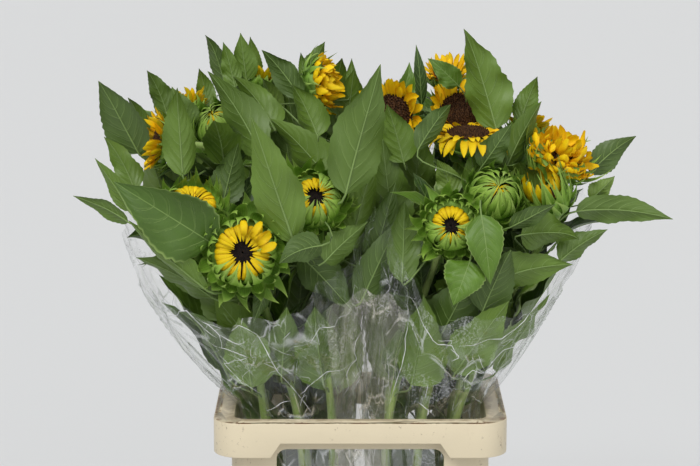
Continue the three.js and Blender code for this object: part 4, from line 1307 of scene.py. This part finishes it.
def whorl_strips(rng, whorl, size, spread=None, bare=None):
    """A ring's strips as grids of points: strip, along, across, xyz."""
    turn = strip_turns(rng, whorl["count"], spread, bare)
    count, t, q = len(turn), np.linspace(0, 1, STRIP["steps"] + 1), np.linspace(-1, 1, STRIP["across"] + 1)
    centre, across, normal = strip_lines(rng, whorl, turn, t)
    keys = np.array(OUTLINES[whorl["outline"]])
    half = np.interp(t, keys[:, 0], keys[:, 1]) * whorl["half"] * rng.uniform(*STRIP["width"], count)[:, None]
    cup = rng.uniform(*STRIP["cup"], count)[:, None, None]
    begin = rng.uniform(0, STRIP["begin"], count)[:, None, None]
    along, sideways = STRIP["waves"]
    ruffle = whorl["ruffle"] * np.sin(begin + along * t[None, :, None] + sideways * q[None, None])
    lift = cup * q ** 2 + ruffle * np.abs(q) * t[None, :, None]
    points = (centre[:, :, None] + across[:, :, None] * (half[..., None] * q)[..., None]
              + normal[:, :, None] * (half[..., None] * lift)[..., None])
    return points * size


def add_whorl(heaps, rng, whorl, size, turn_to, spread=None, bare=None):
    points = whorl_strips(rng, whorl, size, spread, bare)
    count, rows, columns = points.shape[:3]
    places = np.broadcast_to(grid_places(rows, columns), (count, rows, columns, 2))
    faces = copies_of(grid_faces(rows, columns)[:, ::-1], count, rows * columns)
    other = rng.random(count) < STRIP["other_tint"]
    tints = np.where(other, rng.integers(0, 2, count) + whorl["tint"] // 2, whorl["tint"])
    heaps[whorl["look"]].add(turn_to(points), faces, np.repeat(tints, len(faces) // count), places)


def add_lathed(heap, profile, size, turn_to, look):
    """A shape with the same profile all round, given as (radius, height)."""
    radius, height = np.array(profile, float).T
    points = polar(radius[:, None], ring_turns(LATHE_SIDES), height[:, None]) * size
    heap.add(turn_to(points), grid_faces(len(profile), LATHE_SIDES, True), look)


def add_disc(heap, rng, disc, size, turn_to):
    """The seed disc: a low dome, with florets in a spiral where it shows."""
    wide, middle, edge, count = disc["radius"], disc["middle"], disc["edge"], disc["florets"]
    look = len(PETALS) + (1 if count else 0)
    shares = np.linspace(1, DOME["inner"], DOME["rings"])
    add_lathed(heap, [(wide * s, mix(middle, edge, s ** 2)) for s in shares], size, turn_to, look)
    if not count:
        return
    index, sides = np.arange(count) + 0.5, FLORET["sides"]
    radius, turn = wide * np.sqrt(index / count), index * math.radians(FLORET["turn"])
    centre = polar(radius, turn, mix(middle, edge, (radius / wide) ** 2))
    foot = polar(1, ring_turns(sides), 0) * (wide * FLORET["wide"] / math.sqrt(count))
    tall = rng.uniform(*FLORET["tall"], count) * (FLORET["least"] + FLORET["more"] * radius / wide)
    lean = polar(1, turn, 0) * rng.normal(0, FLORET["lean"], (count, 1))
    top = centre[:, None] + foot * FLORET["top"] + (lean + UP * tall[:, None])[:, None]
    points = np.stack((centre[:, None] + foot, top), 1)
    faces = copies_of(grid_faces(2, sides, True), count, 2 * sides)
    heap.add(turn_to(points * size), faces, look)


def head_place(plant):
    """A head's size, and a function that takes places to where the head stands and faces."""
    stem, name = plant["stem"], plant["name"]
    smaller = LOOKS_AS.get(name, (None, 1))[1]
    facing = direction(*FACES.get(name, stem["faces"]))
    matrix = np.array(Vector((0, 0, 1)).rotation_difference(Vector(facing)).to_matrix())
    x, y, up = stem["head"]
    back = HEAD_BACK[stem["kind"]] * stem["size"]
    neck = np.array((x, y, RIM_Z + up)) - direction(*stem["faces"]) * back
    centre = neck + facing * back * smaller + SHIFTS.get(name, (0, 0, 0))
    return stem["size"] * smaller, lambda points: points.reshape(-1, 3) @ matrix.T + centre


def make_head(plant, index):
    """One flower head: bowl, whorls of green strips and petals, and the seed disc."""
    name, kind = plant["name"], plant["stem"]["kind"]
    rng = np.random.default_rng(SEED + SEED_STEPS["heads"] + index)
    look = LOOKS_AS.get(name, (kind,))[0]
    size, turn_to = head_place(plant)
    heaps = {"bracts": Heap(), "petals": Heap()}
    add_lathed(heaps["bracts"], BOWLS[kind], size, turn_to, look=1)
    for whorl in WHORLS[look]:
        add_whorl(heaps, rng, whorl, size, turn_to, bare=BARED.get(name) if whorl["inner"] else None)
    if name in SPILLED:
        add_whorl(heaps, rng, SPILL, size, turn_to, spread=SPILLED[name])
    add_disc(heaps["petals"], rng, DISCS.get(look, DISCS[kind]), size, turn_to)
    green = heaps["bracts"].make(f"bracts_{name}", BRACTS)
    yellow = heaps["petals"].make(f"petals_{name}", [*PETALS, DARK_DISC, BROWN_DISC])
    finish_piece(green, "green_heads", f"head_{name}")
    finish_piece(yellow, "open_flowers", f"head_{name}")
    return green, yellow


def finish_piece(piece, slot, *nodes):
    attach(piece, "root")
    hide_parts(*nodes)


# Stems and foliage

STALK_MESH = {"step": 7, "sides": 14, "hole": 0.05}
# Ridges as (height, how many round, how far along for one turn's drift), and the swellings
RIDGES = ((0.28, 7, 60), (0.12, 13, -45))
SWELLING = {"high": 0.5, "apart": 62, "long": 5}


def stem_relief(along, turn):
    """Shallow ridges, and a swelling every few centimetres where a leaf grew."""
    ridges = sum(high * np.sin(count * turn + along / drift) for high, count, drift in RIDGES)
    away = along % SWELLING["apart"] - SWELLING["apart"] / 2
    return ridges + SWELLING["high"] * np.exp(-(away / SWELLING["long"]) ** 2)


def make_stem(plant):
    heap, line = Heap(), plant["line"]
    steps, sides = int(line.length / STALK_MESH["step"]), STALK_MESH["sides"]
    rings = stem_rings(line, 0, 1, steps, sides, stem_relief)
    heap.add(rings, grid_faces(steps + 1, sides, True))
    for ring, at_foot in ((rings[0], True), (rings[-1], False)):
        centre = ring.mean(0)
        small = centre + (ring - centre) * STALK_MESH["hole"]
        pair = np.stack((small, ring) if at_foot else (ring, small))
        heap.add(pair, grid_faces(2, sides, True))
    finish_piece(heap.make(f"stalk_{plant['name']}", [STEM_MATERIAL]), "stems", f"stem_{plant['name']}")


def make_foliage(plant, index):
    heap = Heap()
    rng = np.random.default_rng(SEED + SEED_STEPS["leaves"] + index)
    for leaf in plant["leaves"]:
        tint = rng.choice(len(LEAF_TINTS), p=TINT_ODDS)
        add_leaf(heap, leaf, plant["line"], rng, tint, len(LEAF_TINTS))
    piece = heap.make(f"foliage_{plant['name']}", [*LEAF_TINTS, VEIN_MATERIAL])
    finish_piece(piece, "leaves", f"leaves_{plant['name']}")


# Film. Its pleats and creases are laid out on a sheet that is FILM_ROUND long all round

FILM_AROUND = 220
FILM_LEVELS = 90
FILM_BELOW = 16
FILM_ROUND = 900
FILM_CLOSER = 3
EDGE_WAVES = ((9, 5), (6, 11), (4, 23))
CREASE = {"cell": 36, "stretch": 2.1, "lean": 0.35, "depth": 0.45, "most": 10, "most_low": 4, "from": 40}
BILLOW = {"depth": 5, "count": 3, "drift": 70, "from": 120}
PLEATS = {"count": 19, "rim": 5.5, "foot": 11, "fade": 90, "sway": 1.5, "sways": 3, "drift": 55}
SEAM = 0.25
MERGE = 0.0002

# Sharp folds of the film that show in front, white as painted glints, as (angle round the sleeve, height
# above the rim)
GLINT_FOLDS = {
    "left": (
        ((-1.76, 164), (-1.58, 128), (-1.55, 69), (-1.33, 0)),
        ((-2.03, 174), (-1.89, 132), (-1.97, 107)),
        ((-2.09, 111), (-1.72, 102), (-2.09, 77), (-1.94, 50)),
        ((-2.61, 136), (-2.11, 148), (-1.95, 124)),
        ((-2.95, 160), (-2.8, 100), (-2.7, 16)),
        ((-0.79, 28), (-0.3, 110), (-0.2, 200)),
        ((-1.92, 10), (-1.55, 26)),
        ((-1.43, 36), (-1.16, 57), (-0.5, 75)),
        ((-1.89, 132), (-1.68, 122)),
        ((-1.43, 105), (-0.93, 128), (-0.59, 164)),
    ),
    "right": (
        ((-2.25, 170), (-2.0, 150), (-1.61, 110), (-1.54, 91)),
        ((-1.13, 66), (-1.06, 92), (-0.5, 125), (-0.35, 180), (-0.29, 250)),
        ((-1.57, 109), (-1.06, 128), (-1.03, 151)),
        ((-1.61, 105), (-1.53, 93), (-1.57, 87)),
        ((-1.38, 51), (-1.3, 71), (-0.99, 61), (-0.95, 72)),
        ((-1.72, 27), (-1.47, 2)),
        ((-2.16, 16), (-2.09, 74), (-2.24, 172)),
        ((-1.1, 29), (-0.65, 14)),
        ((-0.83, 59), (-0.45, 105)),
    ),
}
# Short ones all round, also white as painted glints. They begin between a height and a share of the edge's
# height
SMALL_GLINT_FOLDS = {"count": 64, "between": (8, 0.92), "parts": (1, 4), "long": (8, 36), "reach": 140,
               "slope": (0.6, 1.4), "corner": (1.7, 2.7)}
FOLD = {"steps": 8, "step": 4, "low": 2, "high": 0.97, "off": 0.4, "thin": 0.25, "full": 0.6, "sides": 4}
FOLD_RADIUS = {"seen": 0.42, "small": 0.26, "uneven": (0.5, 1.2)}
LAP = {"grid": (90, 73), "low": -170, "top": 172, "angle": 56, "outside": 1.5, "pleats": 6, "depth": 3.2,
       "bulge": 5, "least": 0.4, "grows": 30, "sway": 0.9, "drift": 46, "skew": 5,
       "edge": ((16, 5), (5, 19)), "ripple": (2, 23, 9)}


def film_limits(side_name, up):
    side = FILM_SIDES[side_name]

    def limit(rim, foot, bend):
        return np.where(up < 0, mix(rim, foot, up / FILM_FOOT), bend)

    def curve(values):
        return values[0] + values[1] * up + values[2] * up * up

    return (
        limit(side["outer"][0], side["foot"][0], curve(side["outer"])),
        limit(side["inner"][0], side["foot"][1], curve(side["inner"])),
        limit(FILM_FRONT["rim"], FILM_FRONT["foot"], FILM_FRONT["rim"] + FILM_FRONT["slope"] * up),
        limit(FILM_BACK["rim"], FILM_BACK["foot"], FILM_BACK["rim"] + FILM_BACK["slope"] * up),
    )


def film_point(side_name, angle, up, depth):
    outer, inner, front, back = film_limits(side_name, up)
    half_x, half_y = np.abs(outer - inner) / 2 - depth, (back - front) / 2 - depth
    power = 2 / FILM_SQUARENESS
    c, s = np.cos(angle), np.sin(angle)
    return np.stack(((outer + inner) / 2 + half_x * np.sign(c) * np.abs(c) ** power,
                     (front + back) / 2 + half_y * np.sign(s) * np.abs(s) ** power,
                     RIM_Z + up + 0 * angle), -1)


def to_partner(side_name, angle):
    """1 where a sleeve faces the other one and 0 on its far half."""
    return np.maximum(0, -BUNCHES[side_name]["side"] * np.cos(angle))


def film_edge(side_name, angle):
    behind = ((1 + np.sin(angle)) / 2) ** FILM_EDGE["power"]
    inner = to_partner(side_name, angle) ** 2
    return FILM_EDGE["front"] + FILM_EDGE["behind"] * behind + FILM_EDGE["inner"] * inner


def creases(rng, around, up):
    """Crumpled facets: how far each place lies from the folds between random cells."""
    length, stretch = around.max(), CREASE["stretch"]
    count = int(length * (up.max() - up.min()) / (CREASE["cell"] ** 2 * stretch))
    across, along = rng.uniform(0, length, count), rng.uniform(up.min(), up.max(), count)
    seeds = np.stack((across + CREASE["lean"] * along, along / stretch), -1)
    flat = np.stack((around + CREASE["lean"] * up, up / stretch), -1).reshape(-1, 2)
    far = np.linalg.norm(flat[:, None] - seeds[None], axis=-1)
    nearest = np.sort(far, axis=1)[:, :2]
    return ((nearest[:, 1] - nearest[:, 0]) * CREASE["depth"]).reshape(up.shape)


def film_heights(side_name, angle, rng):
    """The heights of a sleeve's rows above the rim, up to its wavy edge."""
    edge = film_edge(side_name, angle)
    for (high, count), begin in zip(EDGE_WAVES, (rng.random(), 0, 1)):
        edge = edge + high * np.sin(count * angle + begin)
    below = np.linspace(FILM_FOOT, 0, FILM_BELOW, endpoint=False)
    above = np.linspace(0, 1, FILM_LEVELS - FILM_BELOW + 1)
    return np.concatenate((below[:, None] + 0 * angle, above[:, None] * edge))


def film_relief(rng, turn, up):
    """How far a sleeve lies inside its plain cone: pleats below, facets and soft waves above."""
    gather = np.exp(-np.maximum(up, 0) / PLEATS["fade"])
    sway = PLEATS["sway"] * np.sin(PLEATS["sways"] * turn)
    wave = 0.5 + 0.5 * np.sin(PLEATS["count"] * turn + sway + up / PLEATS["drift"])
    pleats = gather * wave * mix(PLEATS["rim"], PLEATS["foot"], np.clip(up / FILM_FOOT, 0, 1))
    rise = np.clip(up / CREASE["from"], 0, 1)
    facets = np.clip(creases(rng, turn / (2 * math.pi) * FILM_ROUND, up), 0, CREASE["most"])
    crumple = facets - CREASE["most"] / 2
    billow = BILLOW["depth"] * np.sin(BILLOW["count"] * turn + up / BILLOW["drift"])
    billow = billow * np.clip(up / BILLOW["from"], 0, 1)
    return pleats + rise * (crumple + billow) + (1 - rise) * np.clip(crumple, 0, CREASE["most_low"])


def film_grid(side_name, rng):
    """The sleeve's places: around, then up from its foot to its wavy upper edge."""
    angle = np.linspace(0, 2 * math.pi, FILM_AROUND + 1)
    up = film_heights(side_name, angle, rng)
    turn = np.broadcast_to(angle, up.shape)
    plain = film_point(side_name, turn, up, 1.0)
    way = unit((film_point(side_name, turn, up, FILM_INWARD) - plain) * (1, 1, 0))
    inward = film_relief(rng, turn, up) - FILM_CLOSER * to_partner(side_name, turn) ** 3
    seam = np.minimum(angle, 2 * math.pi - angle) / SEAM
    inward = inward * np.clip(seam, 0, 1)
    return plain + way * inward[..., None]


def small_glint_folds(side_name, rng):
    """Short zigzags all round a sleeve, for the white folds that are painted glints."""
    low, high = SMALL_GLINT_FOLDS["between"]
    for _ in range(SMALL_GLINT_FOLDS["count"]):
        angle = rng.uniform(0, 2 * math.pi)
        place = np.array((angle, rng.uniform(low, high * film_edge(side_name, angle))))
        way, corners = rng.choice((-1, 1)) * rng.uniform(*SMALL_GLINT_FOLDS["slope"]), [place]
        for turn in range(rng.integers(*SMALL_GLINT_FOLDS["parts"])):
            long = rng.uniform(*SMALL_GLINT_FOLDS["long"])
            place = place + (math.cos(way) * long / SMALL_GLINT_FOLDS["reach"], math.sin(way) * long)
            way += (-1) ** turn * rng.uniform(*SMALL_GLINT_FOLDS["corner"])
            corners.append(place)
        yield np.array(corners)


def add_glint_fold(heap, side_name, points, corners, radius):
    """One fold as a thin ridge that lies on the film, in the white of a painted glint."""
    steps = max(FOLD["steps"], int(np.abs(np.diff(corners[:, 1])).sum() / FOLD["step"]))
    t, at = np.linspace(0, 1, steps), np.linspace(0, 1, len(corners))
    angle, up = np.interp(t, at, corners[:, 0]) % (2 * math.pi), np.interp(t, at, corners[:, 1])
    edge = film_edge(side_name, angle)
    up = np.clip(up, FOLD["low"], FOLD["high"] * edge)
    row = FILM_BELOW + up / edge * (FILM_LEVELS - FILM_BELOW)
    outward = film_point(side_name, angle, up, 0.0) - film_point(side_name, angle, up, FILM_INWARD)
    out = unit(outward * (1, 1, 0))
    path = grid_sample(points, row / FILM_LEVELS, angle / math.pi - 1) + out * FOLD["off"]
    thick = radius * (FOLD["thin"] + np.sin(math.pi * t) ** FOLD["full"])
    reference = np.cross(out, unit(np.gradient(path, axis=0)))
    tube, faces = tubes(path[None], thick[None], FOLD["sides"], reference[None])
    heap.add(tube, faces)


def make_glint_folds(side_name, points, rng):
    # The folds' tubes are white: painted glints on the film
    heap = Heap()
    for corners in GLINT_FOLDS[side_name]:
        add_glint_fold(heap, side_name, points, np.array(corners, float), FOLD_RADIUS["seen"])
    for corners in small_glint_folds(side_name, rng):
        radius = FOLD_RADIUS["small"] * rng.uniform(*FOLD_RADIUS["uneven"])
        add_glint_fold(heap, side_name, points, corners, radius)
    finish_piece(heap.make(f"folds_{side_name}", [PAINTED_GLINT]), "film", f"sleeve_{side_name}")


def make_film(side_name):
    """One sleeve as a welded grid, with its sharp folds beside it as white painted glints."""
    rng = np.random.default_rng(SEED + SEED_STEPS["films"] + len(side_name))
    points = film_grid(side_name, rng)
    make_glint_folds(side_name, points, rng)
    rows, columns = points.shape[:2]
    bpy.ops.object.select_all(action="DESELECT")
    bpy.ops.mesh.primitive_grid_add(x_subdivisions=columns - 1, y_subdivisions=rows - 1, size=2)
    piece = bpy.context.object
    piece.name = piece.data.name = f"film_{side_name}"
    co = np.array([v.co for v in piece.data.vertices])
    column, row = (np.rint((co[:, axis] + 1) / 2 * (count - 1)).astype(int)
                   for axis, count in ((0, columns), (1, rows)))
    piece.data.vertices.foreach_set("co", (points[row, column] * MM).astype(np.float32).ravel())
    bpy.ops.object.mode_set(mode="EDIT")
    bpy.ops.mesh.select_all(action="SELECT")
    bpy.ops.mesh.remove_doubles(threshold=MERGE)
    bpy.ops.object.mode_set(mode="OBJECT")
    bpy.ops.object.shade_smooth()
    piece.data.materials.append(FILM)
    finish_piece(piece, "film", f"sleeve_{side_name}", f"sleeve_foot_{side_name}")


def make_lap(name, way):
    """Loose film in upright pleats that closes the gap between the sleeves, in front or behind."""
    rows, columns = LAP["grid"]
    share = np.linspace(0, 1, columns)[None]
    (high, waves), (low, fine_waves) = LAP["edge"]
    edge = LAP["top"] + high * np.sin(waves * share + way) + low * np.sin(fine_waves * share)
    up = mix(LAP["low"], edge, np.linspace(0, 1, rows)[:, None])
    angle = np.full(up.shape, math.radians(LAP["angle"]))
    ends = (("left", angle), ("right", math.pi - angle))
    ends = [film_point(side, way * turn, up, -LAP["outside"]) for side, turn in ends]
    points = mix(*ends, share[..., None])
    bulge = np.sin(math.pi * share) ** 0.5 * mix(LAP["least"], 1, np.clip(up / LAP["grows"], 0, 1))
    sway = LAP["sway"] * np.sin(up / LAP["drift"])
    pleats = np.sin(2 * math.pi * LAP["pleats"] * share + sway + LAP["skew"] * share ** 2)
    depth, drift, across = LAP["ripple"]
    ripples = depth * np.sin(up / drift + across * share)
    points[..., 1] += way * bulge * (LAP["bulge"] + LAP["depth"] * pleats + ripples)
    heap = Heap()
    heap.add(points, grid_faces(rows, columns)[:, ::-way])
    finish_piece(heap.make(name, [LAP_FILM]), "film", "sleeve_left", "sleeve_right")


# Container

# Heights that differ by less, in metres, are the same
LEVEL = 1e-5


def choose(piece):
    bpy.ops.object.select_all(action="DESELECT")
    piece.select_set(True)
    bpy.context.view_layer.objects.active = piece


def edit(piece):
    choose(piece)
    bpy.ops.object.mode_set(mode="EDIT")
    bpy.ops.mesh.select_all(action="DESELECT")


def select_upright_edges(piece):
    bm = bmesh.from_edit_mesh(piece.data)
    for edge in bm.edges:
        a, b = (v.co for v in edge.verts)
        edge.select_set(abs(a.z - b.z) > LEVEL)
    bmesh.update_edit_mesh(piece.data)


def rounded_block(name, half_x, half_y, corner, low, high):
    """A block with rounded upright corners, from one height to another."""
    bpy.ops.object.select_all(action="DESELECT")
    bpy.ops.mesh.primitive_cube_add(size=1, location=(0, 0, (low + high) / 2 * MM))
    piece = bpy.context.object
    piece.name = name
    piece.scale = (2 * half_x * MM, 2 * half_y * MM, (high - low) * MM)
    bpy.ops.object.transform_apply(location=True, rotation=True, scale=True)
    edit(piece)
    bpy.ops.mesh.select_mode(type="EDGE")
    select_upright_edges(piece)
    bpy.ops.mesh.bevel(offset=corner * MM, segments=CORNER_FACES, affect="EDGES")
    bpy.ops.object.mode_set(mode="OBJECT")
    return piece


def taper_top(piece, share_x, share_y):
    top = max(v.co.z for v in piece.data.vertices)
    for vertex in piece.data.vertices:
        if vertex.co.z > top - LEVEL:
            vertex.co.x *= share_x
            vertex.co.y *= share_y
    return piece


def apply(piece, modifier):
    choose(piece)
    bpy.ops.object.modifier_apply(modifier=modifier.name)


def combine(piece, other, operation="DIFFERENCE"):
    modifier = piece.modifiers.new("cut", "BOOLEAN")
    modifier.object, modifier.operation, modifier.solver = other, operation, "EXACT"
    apply(piece, modifier)
    bpy.data.objects.remove(other)
    return piece


def soften(piece, width):
    """Small rounded edges, as moulded plastic has."""
    modifier = piece.modifiers.new("edges", "BEVEL")
    modifier.width, modifier.segments = width * MM, SOFT["faces"]
    modifier.limit_method, modifier.angle_limit = "ANGLE", math.radians(SOFT["sharp_from"])
    apply(piece, modifier)
    choose(piece)
    bpy.ops.object.shade_smooth_by_angle(angle=math.radians(SOFT["smooth_to"]))


def window_block(half, across_x):
    """A rounded block that cuts one pair of windows."""
    low, high = RIM_Z - WINDOW["bottom"], RIM_Z - WINDOW["top"]
    reach = LEDGE["half_x" if across_x else "half_y"] - WINDOW["short_of_edge"]
    block = rounded_block("window", half, (high - low) / 2, WINDOW["corner"], -reach, reach)
    for vertex in block.data.vertices:
        x, y, z = vertex.co
        up = y + (low + high) / 2 * MM
        vertex.co = (z, x, up) if across_x else (x, z, up)
    return turned_out(block)


def turned_out(piece):
    edit(piece)
    bpy.ops.mesh.select_all(action="SELECT")
    bpy.ops.mesh.normals_make_consistent(inside=False)
    bpy.ops.object.mode_set(mode="OBJECT")
    return piece


def skirt_cut(along_x):
    """Raises the skirt's lower edge between two ramps on one pair of sides."""
    shorter = 0 if along_x else LEDGE["half_x"] - LEDGE["half_y"]
    low, high = RIM_Z - SKIRT["deep"] - PAST, RIM_Z - SKIRT["shallow"]
    ramp_out, ramp_in = SKIRT["ramp_out"] - shorter, SKIRT["ramp_in"] - shorter
    block = rounded_block("skirt_cut", ramp_out, LEDGE["half_x"] + FAR_PAST, 1, low, high)
    taper_top(block, ramp_in / ramp_out, 1)
    if not along_x:
        for vertex in block.data.vertices:
            vertex.co.x, vertex.co.y = vertex.co.y, vertex.co.x
        turned_out(block)
    return block


def ledge_block(name, inward, low, high):
    """A block as the ledge, but smaller all round."""
    corner = LEDGE["corner"] - min(inward, SKIRT["wall"])
    return rounded_block(name, LEDGE["half_x"] - inward, LEDGE["half_y"] - inward, corner, low, high)


def panel_block(name, inward, low, high):
    sizes = (PANEL[key] - inward for key in ("half_x", "half_y", "corner"))
    return rounded_block(name, *sizes, low, high)


def make_collar():
    """The ledge with its skirt, the panels below it, four windows and the small slots."""
    wall, low = SKIRT["wall"], RIM_Z - SKIRT["deep"]
    piece = ledge_block("collar_shell", 0, low, RIM_Z)
    combine(piece, ledge_block("hollow", wall, low - PAST, RIM_Z - LEDGE["thick"]))
    for along_x in (True, False):
        cut = skirt_cut(along_x)
        combine(cut, ledge_block("kept", wall + PAST, 0, RIM_Z + PAST))
        combine(piece, cut)
    combine(piece, panel_block("panels", 0, TUB["height"] + GAP, RIM_Z - PAST), "UNION")
    combine(piece, panel_block("well", PANEL["wall"], 0, RIM_Z + PAST))
    combine(piece, window_block(WINDOW["half_long"], False))
    combine(piece, window_block(WINDOW["half_short"], True))
    soften(piece, SOFT["collar"])
    cut_slots(piece)
    piece.data.materials.append(PLASTIC)
    finish_piece(piece, "plastic", "collar")


def slot_places():
    """The middles of the small slots near the ledge's outer edge, with each one's direction."""
    sides = ((SLOT_PAIRS["long"], LEDGE["half_y"], False),
             (SLOT_PAIRS["short"], LEDGE["half_x"], True))
    for pairs, edge, turned in sides:
        for number in range(pairs):
            for half in (-1, 1):
                along = (number - (pairs - 1) / 2) * SLOT["pitch"] + half * SLOT["apart"] / 2
                for way in (-1, 1):
                    across = way * (edge - SLOT["from_edge"])
                    yield (across, along, turned) if turned else (along, across, turned)


def cut_slots(piece):
    for x, y, turned in slot_places():
        long, wide = SLOT["long"] / 2, SLOT["wide"] / 2
        sizes = (wide, long) if turned else (long, wide)
        cut = rounded_block("slot", *sizes, 1, RIM_Z - LEDGE["thick"] - 2 * PAST, RIM_Z + PAST)
        cut.data.transform(Matrix.Translation((x * MM, y * MM, 0)))
        combine(piece, cut)


def make_tub():
    """A tapered tub with a lip on which the collar stands."""
    (foot_x, foot_y), (top_x, top_y) = TUB["foot"], TUB["top"]
    wall, height, corner = TUB["wall"], TUB["height"], TUB_CORNER["foot"]
    low, over = height - LIP["height"], LIP["overhang"]
    piece = rounded_block("tub_shell", foot_x, foot_y, corner, 0, low)
    taper_top(piece, top_x / foot_x, top_y / foot_y)
    lip = rounded_block("lip", top_x + over, top_y + over, TUB_CORNER["lip"], low - PAST, height)
    combine(piece, lip, "UNION")
    inner_x, inner_y = foot_x - wall, foot_y - wall
    hollow = rounded_block("hollow", inner_x, inner_y, corner - wall, TUB["floor"], low - wall)
    taper_top(hollow, (top_x - wall) / inner_x, (top_y - wall) / inner_y)
    combine(piece, hollow)
    combine(piece, panel_block("mouth", LIP["inset"], low - wall - PAST, height + PAST))
    soften(piece, SOFT["tub"])
    piece.data.materials.append(PLASTIC)
    finish_piece(piece, "plastic", "tub")


# Floor, light and camera, in metres

FLOOR_SIZE = 90
WORLD = {"Color": (0.98, 0.985, 1, 1), "Strength": 0.36}
# Each lamp: its name, where it shines from, its strength and how wide it is in degrees
LAMPS = (
    ("key", (-1.2, -2.4, 3.0), 1.95, 34),
    ("fill", (1.8, -2.6, 1.3), 0.7, 60),
    ("back", (0.5, 2.8, 2.0), 0.3, 60),
)
CAMERA = {"place": (-0.014, -3.446, 1.313), "down": 10.5, "lens": 129.6, "sensor": 36}


def make_studio():
    bpy.ops.object.select_all(action="DESELECT")
    bpy.ops.mesh.primitive_plane_add(size=FLOOR_SIZE)
    floor = bpy.context.object
    floor.name = "floor"
    material = new_material("floor_pale", 0.9, Base_Color=colour(222, 223, 223))[0]
    floor.data.materials.append(material)
    floor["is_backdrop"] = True

    world = bpy.data.worlds.new("studio")
    world.use_nodes = True
    for name, value in WORLD.items():
        world.node_tree.nodes["Background"].inputs[name].default_value = value
    bpy.context.scene.world = world

    for name, place, strength, spread in LAMPS:
        lamp = bpy.data.lights.new(name, "SUN")
        lamp.energy, lamp.angle = strength, math.radians(spread)
        holder = bpy.data.objects.new(name, lamp)
        holder.rotation_euler = (-Vector(place)).to_track_quat("-Z", "Y").to_euler()
        bpy.context.scene.collection.objects.link(holder)


def make_camera():
    camera = bpy.data.cameras.new("camera")
    camera.lens, camera.sensor_width = CAMERA["lens"], CAMERA["sensor"]
    holder = bpy.data.objects.new("camera", camera)
    holder.location = CAMERA["place"]
    holder.rotation_euler = (math.radians(90 - CAMERA["down"]), 0, 0)
    bpy.context.scene.collection.objects.link(holder)
    bpy.context.scene.camera = holder
    bpy.context.scene.view_settings.view_transform = "Standard"


make_camera()
make_studio()
make_tub()
make_collar()
for film_side in BUNCHES:
    make_film(film_side)
make_lap("lap_front", -1)
make_lap("lap_back", 1)
grown = grow_plants()
grown_heads = {plant["name"]: make_head(plant, order) for order, plant in enumerate(grown)}
fill_crown(grown, grown_heads)
for order, plant in enumerate(grown):
    make_stem(plant)
    make_foliage(plant, order)

boxes = {"cad": CAD_BOX, "visual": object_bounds()}
{key: [list(corner) for corner in box] for key, box in boxes.items()}
